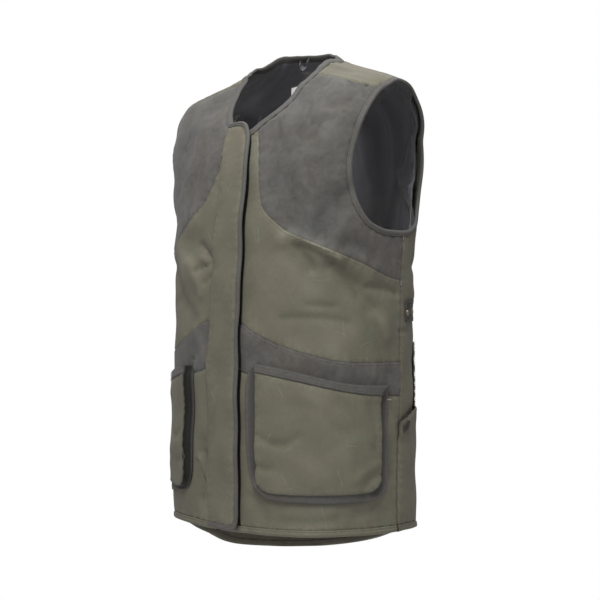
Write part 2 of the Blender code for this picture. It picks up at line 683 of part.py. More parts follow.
def make_pocket(collection, side):
    """One cargo pocket: face, bound top edge and the pleated wall round three sides."""
    flip = mirrored if side == "right" else tuple
    edge = line(FACE_EDGE, POCKET_STEP, smooth=False)
    top = line(POCKET_TOP, POCKET_STEP, smooth=False)
    foot = line(POCKET_BINDING_FOOT, POCKET_STEP, smooth=False)
    cloth = Cloth([
        ([Vector(place) for place in flip(points)], False) for points in (edge, top, foot)], POCKET_STEP)
    for name, seed, finish in (
            ("pocket_face_", (-40.0, -0.560), "waxed_cotton"),
            ("pocket_binding_", (-40.0, -0.472), "grey_binding")):
        points, faces = cloth.piece(flip((seed,)), 0.0, pocket_side_lift(side))
        shell(collection, name + side, points, faces, SHELL_WALL, finish)
    rows = []
    for face_row, base_row in zip(FACE_EDGE, BASE_EDGE):
        rows.append((Vector(face_row), Vector(base_row)))
    grid_rows = []
    for (face_a, base_a), (face_b, base_b) in zip(rows, rows[1:]):
        length = (form(*face_b) - form(*face_a)).length
        pieces = max(1, round(length / POCKET_STEP))
        for k in range(pieces):
            grid_rows.append(gusset_row(face_a.lerp(face_b, k / pieces), base_a.lerp(base_b, k / pieces)))
    grid_rows.append(gusset_row(*rows[-1]))
    if side == "right":
        grid_rows = [[Vector((-p.x, p.y, p.z)) for p in reversed(row)] for row in grid_rows]
    free_wall(collection, "pocket_gusset_" + side, grid_rows, TRIM_WALL, "waxed_cotton")


def pocket_side_lift(side):
    """The lift of one side's pocket."""
    if side == "left":
        return pocket_lift
    return lambda angle, level: pocket_lift(180.0 - angle, level)


def gusset_row(face, base):
    """Three points from the front up to the face's edge, pleated in at the middle."""
    top = pocket_lift(*face) - SHELL_WALL - SEAM
    middle = (face + base) / 2
    inward = (surface(-40.0, -0.545) - surface(*middle)).normalized()
    pleat = surface(*middle, top / 2) + inward * GUSSET_PLEAT
    return [surface(*base, GUSSET_FOOT), pleat, surface(*face, top)]


def make_studs(collection):
    """The small metal studs on both waist adjusters."""
    for side, rows in (("left", STUDS_LEFT), ("right", mirrored(STUDS_LEFT))):
        for number, (angle, level) in enumerate(rows, 1):
            made = bmesh.new()
            bmesh.ops.create_cone(
                made, cap_ends=True, segments=STUD_FACETS, radius1=STUD_RADIUS,
                radius2=0.7 * STUD_RADIUS, depth=STUD_HEIGHT)
            up = outward(angle, level)
            turn = up.to_track_quat("Z", "Y").to_matrix().to_4x4()
            bmesh.ops.transform(made, matrix=turn, verts=made.verts)
            height = LEATHER_OUT + SEAM + STUD_HEIGHT / 2
            bmesh.ops.translate(made, vec=surface(angle, level, height), verts=made.verts)
            name = "adjuster_stud_{}_{}".format(side, number)
            mesh = bpy.data.meshes.new(name)
            made.to_mesh(mesh)
            made.free()
            mesh.materials.append(material("antique_brass"))
            collection.objects.link(bpy.data.objects.new(name, mesh))


def make_loop(collection):
    """The hanging loop, a narrow band sewn inside the back neck."""
    rows = []
    start, end = LOOP_ANGLES
    for i in range(LOOP_PARTS + 1):
        t = i / LOOP_PARTS
        sag = math.sin(math.pi * t)
        angle = start + (end - start) * (0.5 - 0.5 * math.cos(math.pi * t))
        inward = outward(angle, LOOP_LEVEL) * -LOOP_REACH * sag
        top = surface(angle, LOOP_LEVEL - LOOP_DROP * sag, LOOP_OUT) + inward
        rows.append([top, top + outward(angle, LOOP_LEVEL) * -LOOP_WIDTH])
    free_wall(collection, "hanging_loop", rows, TRIM_WALL, "black_lining")


def main():
    """Makes the whole gilet in its own collection."""
    clear_scene()
    collection = bpy.data.collections.new(NAME)
    bpy.context.scene.collection.children.link(collection)
    edges = garment_lines()
    cloth = cut_shell(edges)
    make_shell(collection, cloth)
    make_bindings(collection, cloth, edges)
    make_lining(collection, cloth)
    make_placket(collection)
    for side in ("left", "right"):
        make_pocket(collection, side)
    make_studs(collection)
    make_loop(collection)


main()
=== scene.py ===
"""The looks of a long sleeveless gilet for clay shooting, filled out as it is worn, with nobody in it.

The cloth is cut again on the same smooth figure as the solids of the frame, in a finer mesh. A place on the
figure is (angle, level): the angle in degrees round the body, -90 at the centre front, 0 at the wearer's left
and 90 at the centre back, and the level, which is the height on the body and goes on inwards over the
shoulders to the neck. Seams are lines through the rows of short tables. Bindings, gussets and straps are
swept along those lines, and Geometry Nodes sew the stitches.
"""
import logging
import math
from dataclasses import astuple, dataclass
from enum import Enum
from typing import Any, Callable, Sequence

import bpy
import numpy as np
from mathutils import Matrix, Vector
from mathutils.geometry import delaunay_2d_cdt
from mathutils.kdtree import KDTree

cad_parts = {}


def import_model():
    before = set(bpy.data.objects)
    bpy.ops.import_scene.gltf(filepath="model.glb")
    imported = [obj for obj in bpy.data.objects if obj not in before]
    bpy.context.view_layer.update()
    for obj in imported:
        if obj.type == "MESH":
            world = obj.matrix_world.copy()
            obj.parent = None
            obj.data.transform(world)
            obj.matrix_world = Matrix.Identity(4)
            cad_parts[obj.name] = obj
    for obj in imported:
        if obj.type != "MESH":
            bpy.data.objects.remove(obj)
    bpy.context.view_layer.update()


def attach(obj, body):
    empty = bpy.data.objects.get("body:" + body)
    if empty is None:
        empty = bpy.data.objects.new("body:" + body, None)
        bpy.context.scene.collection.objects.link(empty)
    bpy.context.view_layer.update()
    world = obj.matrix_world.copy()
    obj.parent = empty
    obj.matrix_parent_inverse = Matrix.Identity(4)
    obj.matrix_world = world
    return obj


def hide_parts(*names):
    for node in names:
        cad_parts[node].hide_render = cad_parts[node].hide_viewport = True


LOG = logging.getLogger("gilet")

Row = tuple[float, float]
Colour = tuple[float, float, float]
Lift = Callable[[np.ndarray, np.ndarray], np.ndarray]
Socket = bpy.types.NodeSocket

# Metres of cloth to a degree round the body, the height of a row of even triangles, and when points are one.
DEGREE = 0.0028
ROW_HEIGHT = math.sqrt(0.75)
MERGED = 1e-5
# The angle at the middle of the left front, and a range of angles that holds every place.
FRONT_MIDDLE = -45.0
ALL_ROUND = (-360.0, 360.0)
# How finely the lines are measured, and how far apart their runs start, so that no two pucker alike.
RULER_STEP = 0.0015
RUN_APART = 0.37
# Beside a seam the cloth is drawn in over GROOVE metres and puckered over PUCKER_REACH metres.
GROOVE = 0.0022
PUCKER_REACH = 0.010
PUCKER_PACE = 430.0
PUCKER_DRIFT = 71.0


class Side(Enum):
    """A side of the wearer."""

    LEFT = "left"
    RIGHT = "right"

    @property
    def sign(self) -> float:
        """1 on the wearer's left and -1 on the right."""
        return 1.0 if self is Side.LEFT else -1.0

    def angle(self, angle: float) -> float:
        """An angle drawn for the wearer's left, brought to this side."""
        return angle if self is Side.LEFT else 180.0 - angle

    def turn(self, rows: Sequence[Row]) -> tuple[Row, ...]:
        """Rows drawn for the wearer's left, brought to this side."""
        return tuple((self.angle(angle), level) for angle, level in rows)

    def lift(self, rise: Lift) -> Lift:
        """A height drawn for the wearer's left, brought to this side."""
        if self is Side.LEFT:
            return rise
        return lambda angle, level: rise(180.0 - angle, level)


class Held(Enum):
    HUNG = "hung"
    STRETCHED = "stretched"
    FOLDED = "folded"


@dataclass(frozen=True)
class Section:
    """A ring of the figure: a superellipse, with its heights at the side, the front and the back."""

    level: float
    z_side: float
    z_front: float
    z_back: float
    half_width: float
    front: float
    back: float
    square_front: float
    square_back: float


SECTIONS = tuple(Section(*row) for row in (
    (-0.8, -0.8, -0.8, -0.8, 0.193, 0.152, 0.134, 2.35, 2.35),
    (-0.68, -0.68, -0.68, -0.68, 0.193, 0.152, 0.134, 2.35, 2.35),
    (-0.55, -0.55, -0.55, -0.55, 0.192, 0.152, 0.132, 2.35, 2.35),
    (-0.42, -0.42, -0.42, -0.42, 0.191, 0.152, 0.13, 2.35, 2.35),
    (-0.32, -0.32, -0.32, -0.32, 0.193, 0.15, 0.133, 2.35, 2.3),
    (-0.23, -0.23, -0.23, -0.23, 0.201, 0.143, 0.14, 2.35, 2.25),
    (-0.16, -0.16, -0.16, -0.16, 0.21, 0.132, 0.146, 2.5, 2.2),
    (-0.1, -0.105, -0.112, -0.097, 0.214, 0.115, 0.14, 2.7, 2.2),
    (-0.065, -0.07, -0.088, -0.06, 0.211, 0.1, 0.126, 2.75, 2.15),
    (-0.035, -0.046, -0.066, -0.034, 0.2, 0.084, 0.108, 2.6, 2.15),
    (-0.005, -0.031, -0.048, -0.014, 0.166, 0.07, 0.088, 2.35, 2.1),
    (0.025, -0.019, -0.036, 0.004, 0.124, 0.058, 0.066, 2.15, 2.0),
    (0.055, -0.004, -0.022, 0.021, 0.082, 0.047, 0.046, 2.0, 2.0),
    (0.085, 0.016, -0.004, 0.04, 0.062, 0.038, 0.036, 2.0, 2.0),
))


def turned(angle: np.ndarray) -> np.ndarray:
    """The angle brought between -180 and 180."""
    return (angle + 180.0) % 360.0 - 180.0


def unit(vectors: np.ndarray) -> np.ndarray:
    """The vectors at length 1."""
    return vectors / np.maximum(np.linalg.norm(vectors, axis=-1, keepdims=True), 1e-12)


def run_of(steps: np.ndarray) -> np.ndarray:
    """How far each place lies along a path, from the lengths of its steps."""
    return np.concatenate([[0.0], np.cumsum(steps)])


def tree_of(points: Sequence[Any]) -> KDTree:
    """A tree that finds which of the points are near a place."""
    tree = KDTree(len(points))
    for i, point in enumerate(points):
        tree.insert(point, i)
    tree.balance()
    return tree


@dataclass(frozen=True)
class Fold:
    """A ridge (height above 0) or trough (below 0) along a line, which may bow to its left."""

    start: Row
    end: Row
    half_width: float
    height: float
    bow: float = 0.0
    softness: float = 2.0

    def rise(self, angle: np.ndarray, level: np.ndarray) -> np.ndarray:
        """How far the fold lifts the cloth at each place."""
        run_x = float(turned(np.array(self.end[0] - self.start[0]))) * DEGREE
        run_y = self.end[1] - self.start[1]
        length = math.hypot(run_x, run_y)
        x = turned(angle - self.start[0]) * DEGREE
        y = level - self.start[1]
        along = (x * run_x + y * run_y) / length ** 2
        inside = np.clip(along, 0.0, 1.0)
        across = (x * run_y - y * run_x) / length + self.bow * 4 * inside * (1 - inside)
        ends = np.maximum(np.abs(along - 0.5) - 0.5, 0.0) * length
        beside = np.abs(across / self.half_width) ** self.softness
        return self.height * np.exp(-beside - (ends / self.half_width) ** 2)


def folds(*rows: tuple[float, ...]) -> tuple[Fold, ...]:
    """Folds from rows: start, end, half width, height and, where they aren't plain, bow and softness."""
    return tuple(Fold(row[:2], row[2:4], *row[4:]) for row in rows)


MAIN_FOLDS = folds(
    (-58.0, -0.27, -36.0, -0.3, 0.013, 0.0045), (-50.0, -0.29, -22.0, -0.338, 0.016, -0.004),
    (-57.0, -0.284, -46.0, -0.322, 0.014, -0.003), (-28.0, -0.336, -12.0, -0.372, 0.015, -0.0025),
    (-108.0, -0.262, -97.0, -0.306, 0.014, -0.003), (-126.0, -0.276, -110.0, -0.318, 0.016, 0.003),
    (-101.5, -0.56, -104.0, -0.64, 0.012, -0.003), (40.0, -0.27, 66.0, -0.33, 0.02, -0.004),
    (140.0, -0.262, 112.0, -0.336, 0.02, -0.004), (72.0, -0.345, 110.0, -0.35, 0.018, -0.003),
    (52.0, -0.08, 66.0, -0.22, 0.022, 0.003), (128.0, -0.09, 116.0, -0.23, 0.022, 0.003),
)
FINE_FOLDS = folds(
    (-55.5, -0.2625, -33.0, -0.299, 0.006, 0.0051, 0.001, 1.4),
    (-51.5, -0.278, -37.0, -0.302, 0.0055, -0.0054, 0.001, 1.4),
    (-36.5, -0.306, -23.5, -0.331, 0.012, -0.0075, 0.002, 1.7),
    (-54.0, -0.279, -46.5, -0.312, 0.006, -0.0042, 0.003, 1.5),
    (-16.5, -0.337, 3.5, -0.344, 0.007, -0.0048, 0.003, 1.5),
    (-21.0, -0.3475, -14.0, -0.366, 0.0085, -0.0045, 0.002, 1.6),
    (8.5, -0.3975, 17.0, -0.3975, 0.0035, -0.0024, 0.0, 1.3),
    (-47.0, -0.3615, -35.0, -0.364, 0.005, -0.0021, 0.001, 1.5),
    (-57.5, -0.38, -29.0, -0.385, 0.006, -0.0023, 0.004, 1.5),
    (-40.0, -0.33, -28.0, -0.39, 0.012, -0.0027, 0.006), (-14.0, -0.375, -4.0, -0.405, 0.01, 0.003, 0.003),
    (-105.0, -0.274, -97.5, -0.298, 0.0042, -0.0048, 0.001, 1.3),
    (-107.5, -0.312, -97.5, -0.302, 0.0046, -0.0045, 0.001, 1.3),
    (-100.8, -0.33, -97.5, -0.319, 0.0036, -0.0039, 0.0, 1.3),
    (-104.0, -0.292, -99.5, -0.301, 0.0045, 0.0024, 0.0, 1.5),
    (-99.6, -0.576, -103.5, -0.642, 0.005, -0.006, -0.002, 1.4),
    (-104.5, -0.582, -101.5, -0.608, 0.0042, 0.0045, 0.001, 1.5),
    (-98.9, -0.602, -98.9, -0.63, 0.003, 0.0027, 0.0, 1.5),
    (-110.0, -0.44, -111.2, -0.458, 0.0034, -0.0045, 0.0, 1.3),
    (-106.0, -0.4, -100.0, -0.442, 0.007, 0.0024, 0.002),
    (-39.5, -0.03, -40.5, -0.065, 0.0045, -0.0033, 0.001, 1.4),
    (-32.0, -0.04, -32.6, -0.062, 0.004, -0.0027, 0.0, 1.4),
    (-46.0, -0.09, -49.0, -0.15, 0.012, 0.0027, 0.004),
    (-30.5, -0.276, -15.5, -0.292, 0.012, -0.0036, 0.003), (-6.0, -0.52, -0.5, -0.6, 0.01, -0.0036, 0.004),
    (-10.0, -0.638, -24.0, -0.65, 0.009, -0.0027, 0.003),
    (-34.0, -0.656, -58.0, -0.66, 0.007, -0.0024, 0.003),
    (-72.0, -0.63, -66.0, -0.66, 0.008, -0.0024, 0.003),
    (-112.0, -0.3, -104.0, -0.345, 0.009, 0.0033, 0.004),
    (-125.0, -0.355, -108.0, -0.38, 0.01, -0.0033, 0.005),
    (-140.0, -0.3, -122.0, -0.345, 0.011, -0.0043, 0.005),
    (-60.0, -0.12, -64.0, -0.2, 0.014, -0.0024, 0.006),
    (-30.0, -0.2, -44.0, -0.262, 0.013, -0.0033, -0.006),
    (-120.0, -0.1, -128.0, -0.19, 0.015, -0.0032, 0.006),
    (-150.0, -0.1, -142.0, -0.17, 0.014, -0.0033, -0.006),
    (-146.0, -0.23, -132.0, -0.262, 0.01, -0.0029, 0.004),
    (24.0, -0.3, 48.0, -0.338, 0.01, -0.0039, 0.005), (30.0, -0.345, 70.0, -0.378, 0.012, 0.0036, 0.006),
    (152.0, -0.3, 128.0, -0.352, 0.011, -0.004, -0.006),
    (146.0, -0.345, 116.0, -0.385, 0.012, 0.0033, -0.005),
    (84.0, -0.3, 104.0, -0.318, 0.01, -0.0029, 0.004), (40.0, -0.12, 52.0, -0.24, 0.013, -0.004, 0.008),
    (142.0, -0.11, 130.0, -0.235, 0.013, -0.0036, -0.008),
    (75.0, -0.06, 84.0, -0.16, 0.016, -0.0029, 0.006), (104.0, -0.07, 98.0, -0.19, 0.016, -0.0024, -0.006),
    (60.0, -0.44, 66.0, -0.6, 0.014, -0.0033, 0.008), (118.0, -0.45, 112.0, -0.64, 0.015, -0.0039, -0.008),
    (90.0, -0.48, 93.0, -0.6, 0.018, 0.0033, 0.006), (46.0, -0.56, 74.0, -0.64, 0.014, 0.0029, 0.008),
    (138.0, -0.54, 106.0, -0.66, 0.014, 0.0029, -0.008),
)
LINING_FOLDS = folds(
    (30.0, -0.06, 40.0, -0.23, 0.008, -0.009, 0.006, 1.5),
    (44.0, -0.04, 46.0, -0.15, 0.0065, -0.0075, -0.004, 1.4),
    (52.0, -0.11, 58.0, -0.3, 0.009, -0.0085, 0.008, 1.5),
    (66.0, -0.06, 70.0, -0.26, 0.01, -0.008, -0.006, 1.5),
    (38.0, -0.19, 24.0, -0.262, 0.007, -0.008, 0.005, 1.4),
    (60.0, -0.16, 44.0, -0.215, 0.007, -0.007, 0.004, 1.4),
    (84.0, -0.04, 80.0, -0.18, 0.01, -0.006, 0.006), (104.0, 0.01, 110.0, -0.12, 0.01, -0.006, -0.006),
    (128.0, -0.06, 122.0, -0.26, 0.01, -0.008, 0.006),
    (146.0, -0.07, 138.0, -0.24, 0.008, -0.008, -0.006, 1.5),
    (156.0, -0.18, 150.0, -0.262, 0.007, -0.006, 0.004, 1.5),
    (70.0, -0.3, 112.0, -0.318, 0.01, -0.006, 0.006), (-50.0, -0.12, -36.0, -0.26, 0.01, -0.005, 0.006),
    (230.0, -0.12, 216.0, -0.26, 0.01, -0.005, -0.006),
)


@dataclass(frozen=True)
class Swell:
    """The gentle waviness that cloth has everywhere."""

    amplitude: float = 0.00045
    wavelength: float = 0.075
    waves: int = 7

    def rise(self, angle: np.ndarray, level: np.ndarray) -> np.ndarray:
        """The height of the waves at each place."""
        total = np.zeros_like(level)
        for number in range(self.waves):
            turn = 2.4 * number + 0.4
            pace = 2 * math.pi / (self.wavelength * (0.6 + 0.16 * number))
            phase = angle * DEGREE * math.cos(turn) + level * math.sin(turn)
            total += np.sin(pace * phase + 1.7 * number)
        return self.amplitude * total


class Figure:
    """The smooth figure that the gilet is filled out to."""

    def __init__(self, sections: Sequence[Section], folds: Sequence[Fold], swell: Swell) -> None:
        """Prepares the sections for smooth reading between them."""
        self.rows = np.array([astuple(section) for section in sections])
        self.levels = self.rows[:, 0]
        before = np.vstack([self.rows[:1], self.rows[:-1]])
        after = np.vstack([self.rows[1:], self.rows[-1:]])
        self.slopes = (after - before) / (after[:, :1] - before[:, :1])
        self.folds = folds
        self.swell = swell
        self._prepare_cloth()

    def section(self, level: np.ndarray) -> np.ndarray:
        """The section at each level, in the columns of Section."""
        level = np.clip(level, self.levels[0], self.levels[-1])
        low = np.clip(np.searchsorted(self.levels, level, side="right") - 1, 0, len(self.levels) - 2)
        width = (self.levels[low + 1] - self.levels[low])[:, None]
        t = (level - self.levels[low])[:, None] / width
        a, b = self.rows[low], self.rows[low + 1]
        run_a, run_b = self.slopes[low] * width, self.slopes[low + 1] * width
        return (
            a + t * run_a + t ** 2 * (3 * (b - a) - 2 * run_a - run_b)
            + t ** 3 * (2 * (a - b) + run_a + run_b))

    def form(self, angle: np.ndarray, level: np.ndarray) -> np.ndarray:
        """Points of the smooth figure."""
        row = self.section(level)
        c, s = np.cos(np.radians(angle)), np.sin(np.radians(angle))
        front = s < 0
        power = np.where(front, row[:, 7], row[:, 8])
        reach = (np.abs(c) ** power + np.abs(s) ** power) ** (-1 / power)
        depth = np.where(front, row[:, 5], row[:, 6])
        middle = np.where(front, row[:, 2], row[:, 3])
        return np.stack([
            row[:, 4] * reach * c,
            depth * reach * s,
            row[:, 1] * c * c + middle * s * s], axis=1)

    def steps(self, angle: np.ndarray, level: np.ndarray) -> tuple[np.ndarray, np.ndarray]:
        """How the figure moves for a degree, and for a metre of level."""
        by_angle = (self.form(angle + 0.2, level) - self.form(angle - 0.2, level)) / 0.4
        by_level = (self.form(angle, level + 0.0005) - self.form(angle, level - 0.0005)) / 0.001
        return by_angle, by_level

    def outward(self, angle: np.ndarray, level: np.ndarray) -> np.ndarray:
        """Unit normals of the figure, pointing away from the body."""
        by_angle, by_level = self.steps(angle, level)
        return unit(np.cross(by_angle, by_level))

    def relief(self, angle: np.ndarray, level: np.ndarray) -> np.ndarray:
        """The height of the folds and waves of the outer cloth."""
        return sum(fold.rise(angle, level) for fold in self.folds) + self.swell.rise(angle, level)

    def place(self, angle: np.ndarray, level: np.ndarray, out: Any = 0.0) -> np.ndarray:
        """Points out metres over the folded cloth."""
        height = np.broadcast_to(out, angle.shape) + self.relief(angle, level)
        return self.form(angle, level) + self.outward(angle, level) * height[:, None]

    def inset(self, places: np.ndarray, distance: float, closed: bool) -> np.ndarray:
        """A line moved on the figure by a distance to its left, as seen from outside."""
        angle, level = places[:, 0], places[:, 1]
        points = self.form(angle, level)
        if closed:
            before, after = np.roll(points, 1, axis=0), np.roll(points, -1, axis=0)
        else:
            before = np.vstack([points[:1], points[:-1]])
            after = np.vstack([points[1:], points[-1:]])
        by_angle, by_level = self.steps(angle, level)
        left = np.cross(unit(np.cross(by_angle, by_level)), unit(after - before))
        aa = np.einsum("ij,ij->i", by_angle, by_angle)
        ll = np.einsum("ij,ij->i", by_level, by_level)
        al = np.einsum("ij,ij->i", by_angle, by_level)
        ra = np.einsum("ij,ij->i", left, by_angle)
        rl = np.einsum("ij,ij->i", left, by_level)
        whole = aa * ll - al * al
        move = np.stack([(ra * ll - rl * al) / whole, (rl * aa - ra * al) / whole], axis=1)
        return places + distance * move

    def _prepare_cloth(self, turns: int = 181, rises: int = 172) -> None:
        """Measures the figure's rings and uprights, so that cloth can be laid out flat."""
        self.grid_angles = np.linspace(-100.0, 280.0, turns)
        self.grid_levels = np.linspace(-0.80, 0.084, rises)
        a, l = np.meshgrid(self.grid_angles, self.grid_levels, indexing="ij")
        points = self.form(a.ravel(), l.ravel()).reshape(turns, rises, 3)
        rings = np.linalg.norm(np.diff(points, axis=0), axis=2)
        uprights = np.linalg.norm(np.diff(points, axis=1), axis=2)
        self.ring_run = np.vstack([np.zeros((1, rises)), np.cumsum(rings, axis=0)])
        self.upright_run = np.hstack([np.zeros((turns, 1)), np.cumsum(uprights, axis=1)])

    def _read(self, table: np.ndarray, angle: np.ndarray, level: np.ndarray) -> np.ndarray:
        """A value of a table between its grid's angles and levels."""
        x = (angle - self.grid_angles[0]) / (self.grid_angles[1] - self.grid_angles[0])
        y = (level - self.grid_levels[0]) / (self.grid_levels[1] - self.grid_levels[0])
        i = np.clip(x.astype(int), 0, table.shape[0] - 2)
        j = np.clip(y.astype(int), 0, table.shape[1] - 2)
        p, q = x - i, y - j
        low = table[i, j] * (1 - p) + table[i + 1, j] * p
        high = table[i, j + 1] * (1 - p) + table[i + 1, j + 1] * p
        return low * (1 - q) + high * q

    def laid_flat(self, angle: np.ndarray, level: np.ndarray, centre: float) -> np.ndarray:
        """Where each place lies on the flat cloth, in metres across from the centre and up."""
        middle = np.full_like(angle, centre)
        across = self._read(self.ring_run, angle, level) - self._read(self.ring_run, middle, level)
        return np.stack([across, self._read(self.upright_run, angle, level)], axis=1)


@dataclass(frozen=True)
class SeamLine:
    """A line drawn on the figure through its rows, curved or straight between them."""

    rows: tuple[Row, ...]
    closed: bool = False
    smooth: bool = True
    shift: float = 0.0

    def on(self, side: Side) -> "SeamLine":
        """The same line on a side of the wearer, still running with its left towards the same cloth."""
        if side is Side.LEFT:
            return self
        return SeamLine(tuple(reversed(side.turn(self.rows))), self.closed, self.smooth, self.shift)

    def beside(self, side: Side, distance: float) -> "SeamLine":
        """The line on a side of the wearer, moved there towards the cloth that is on its left here."""
        return SeamLine(side.turn(self.rows), self.closed, self.smooth).moved(side.sign * distance)

    def moved(self, distance: float) -> "SeamLine":
        """The line a distance to its left."""
        return SeamLine(self.rows, self.closed, self.smooth, self.shift + distance)

    def points(self, figure: Figure, step: float) -> np.ndarray:
        """Places about step apart on the line, its rows among them.

        Args:
            figure: the figure that the line is drawn on.
            step: the spacing, in metres.

        Returns:
            An array of (angle, level).
        """
        rows = np.array(self.rows)
        count = len(rows)
        spans = count if self.closed else count - 1
        ends = figure.form(rows[:, 0], rows[:, 1])
        runs = []
        for i in range(spans):
            j = (i + 1) % count
            a, b = rows[i], rows[j]
            before = rows[i - 1] if self.closed or i else a
            after = rows[(i + 2) % count] if self.closed or i + 2 < count else b
            pieces = max(1, round(float(np.linalg.norm(ends[j] - ends[i])) / step))
            t = np.arange(pieces)[:, None] / pieces
            if self.smooth:
                run_a, run_b = (b - before) / 2, (after - a) / 2
                bend = t ** 2 * (3 * (b - a) - 2 * run_a - run_b) + t ** 3 * (2 * (a - b) + run_a + run_b)
                runs.append(a + t * run_a + bend)
            else:
                runs.append(a + t * (b - a))
        if not self.closed:
            runs.append(rows[-1:])
        places = np.concatenate(runs)
        return figure.inset(places, self.shift, self.closed) if self.shift else places


NECK = SeamLine((
    (271.0, -0.086), (268.7, -0.084), (264.0, -0.076), (260.3, -0.055), (257.4, -0.035), (252.1, -0.002),
    (240.0, 0.033), (222.0, 0.05), (198.0, 0.059), (180.0, 0.065), (165.0, 0.073), (150.0, 0.078),
    (135.0, 0.075), (115.0, 0.063), (90.0, 0.053), (65.0, 0.055), (45.0, 0.058), (30.0, 0.06),
    (15.0, 0.062), (0.0, 0.061), (-14.0, 0.057), (-31.3, 0.048), (-51.0, 0.027), (-62.9, 0.0),
    (-68.4, -0.024), (-72.2, -0.052), (-74.9, -0.065), (-79.7, -0.081), (-83.2, -0.096), (-88.7, -0.108),
    (-91.0, -0.112),
))
ARMHOLE = SeamLine((
    (4.9, -0.031), (13.0, -0.036), (22.0, -0.05), (29.0, -0.075), (32.5, -0.1), (34.5, -0.13),
    (35.0, -0.16), (34.0, -0.19), (31.5, -0.215), (27.0, -0.236), (20.0, -0.249), (11.8, -0.255),
    (6.0, -0.256), (-2.5, -0.256), (-10.4, -0.254), (-18.1, -0.246), (-22.7, -0.235), (-26.8, -0.219),
    (-30.0, -0.199), (-32.3, -0.18), (-33.2, -0.163), (-33.3, -0.139), (-32.7, -0.111), (-30.8, -0.089),
    (-26.0, -0.066), (-18.4, -0.05), (-2.5, -0.037),
), closed=True)
HEM = SeamLine((
    (-91.0, -0.681), (-80.0, -0.681), (-60.0, -0.681), (-30.0, -0.68), (4.7, -0.681), (27.0, -0.683),
    (45.0, -0.691), (60.0, -0.703), (75.0, -0.721), (90.0, -0.735), (110.0, -0.748), (131.0, -0.754),
    (150.0, -0.752), (163.0, -0.745), (175.3, -0.731), (188.0, -0.716), (198.0, -0.702), (209.0, -0.691),
    (225.0, -0.683), (240.0, -0.681), (260.0, -0.681), (271.0, -0.681),
))
SIDE_SEAM = SeamLine((
    (6.0, -0.25), (8.0, -0.28), (8.5, -0.326), (8.4, -0.38), (8.2, -0.441), (7.8, -0.49), (7.0, -0.527),
    (5.8, -0.566), (4.7, -0.64), (4.7, -0.74),
))
PATCH_LEFT = SeamLine((
    (-80.6, -0.07), (-78.9, -0.11), (-76.7, -0.139), (-74.6, -0.17), (-72.9, -0.198), (-70.5, -0.222),
    (-66.6, -0.237), (-62.1, -0.249), (-58.7, -0.257), (-54.0, -0.264), (-47.4, -0.273), (-36.0, -0.287),
    (-23.1, -0.301), (-14.5, -0.311), (-2.0, -0.322), (8.5, -0.326),
))
PATCH_RIGHT = SeamLine((
    (-84.2, -0.06), (-83.6, -0.095), (-83.8, -0.126), (-83.6, -0.16), (-81.4, -0.181), (-80.0, -0.191),
    (-78.0, -0.204), (-73.8, -0.22), (-66.6, -0.237), (-60.8, -0.248), (-54.0, -0.262),
    *PATCH_LEFT.rows[-6:],
)).on(Side.RIGHT)
YOKE = SeamLine((
    (-58.0, 0.036), (-52.0, 0.026), (-47.4, 0.018), (-41.6, -0.012), (-37.3, -0.028), (-31.0, -0.04),
    (-24.9, -0.049), (-16.0, -0.056),
))
BAND_TOP = SeamLine((
    (-88.7, -0.378), (-76.9, -0.388), (-72.1, -0.397), (-64.8, -0.409), (-57.5, -0.418), (-42.7, -0.432),
    (-26.2, -0.44), (8.2, -0.441),
))
BAND_FOOT = SeamLine((
    (-88.7, -0.447), (-83.3, -0.45), (-73.0, -0.459), (-55.0, -0.468), (-35.0, -0.48), (-20.0, -0.486),
    (7.8, -0.49),
))
GAME_POCKET_TOP = SeamLine(((90.0, -0.415), (60.0, -0.415), (33.0, -0.415)), smooth=False)
GAME_POCKET_SIDE = SeamLine(((33.0, -0.415), (33.0, -0.460), (33.0, -0.506)), smooth=False)
GAME_POCKET_MOUTH = SeamLine(((33.0, -0.506), (20.0, -0.516), (7.0, -0.527)), smooth=False)
FRONT_EDGE = SeamLine(((-88.7, -0.740), (-88.7, -0.447), (-88.7, -0.378), (-88.7, -0.060)), smooth=False)
ZIP = SeamLine(((-91.3, -0.679), (-88.7, -0.679), (-88.7, -0.104), (-91.3, -0.104)), True, False)
ADJUSTER = SeamLine((
    (15.0, -0.3845), (24.0, -0.385), (32.0, -0.384), (34.2, -0.378), (34.6, -0.369), (34.2, -0.36),
    (32.0, -0.3545), (24.0, -0.354), (15.0, -0.3545), (13.6, -0.359), (13.4, -0.369), (13.6, -0.38),
), closed=True)
MOUTH_PATCH = SeamLine((
    (8.6, -0.542), (12.6, -0.538), (14.4, -0.527), (10.6, -0.524), (8.0, -0.532)), True, False)
LINING_FOOT = SeamLine((
    (-90.0, -0.645), (-40.0, -0.645), (4.7, -0.645), (40.0, -0.66), (90.0, -0.69), (135.0, -0.7),
    (175.3, -0.672), (215.0, -0.65), (270.0, -0.645),
))
NECK_LABEL = SeamLine(((91.0, -0.036), (118.6, -0.036), (118.6, 0.000), (91.0, 0.000)), True, False)
PLACKET_SEWN = SeamLine((
    (-98.6, -0.69), (-98.6, -0.679), (-98.7, -0.56), (-98.7, -0.455), (-96.7, -0.411), (-96.2, -0.373),
    (-96.1, -0.314), (-95.0, -0.269), (-94.5, -0.24), (-94.1, -0.182), (-96.0, -0.11), (-96.6, -0.08),
    (-96.8, -0.066),
))
PLACKET_FREE = SeamLine((
    (-101.0, -0.679), (-94.0, -0.679), (-86.0, -0.679), (-80.3, -0.678), (-78.4, -0.672), (-77.4, -0.658),
    (-77.3, -0.635), (-77.3, -0.537), (-77.3, -0.41), (-76.8, -0.372), (-76.6, -0.301), (-77.1, -0.243),
    (-77.8, -0.185), (-79.6, -0.14), (-81.1, -0.114), (-83.7, -0.096), (-87.0, -0.085), (-91.2, -0.08),
    (-98.5, -0.08),
))
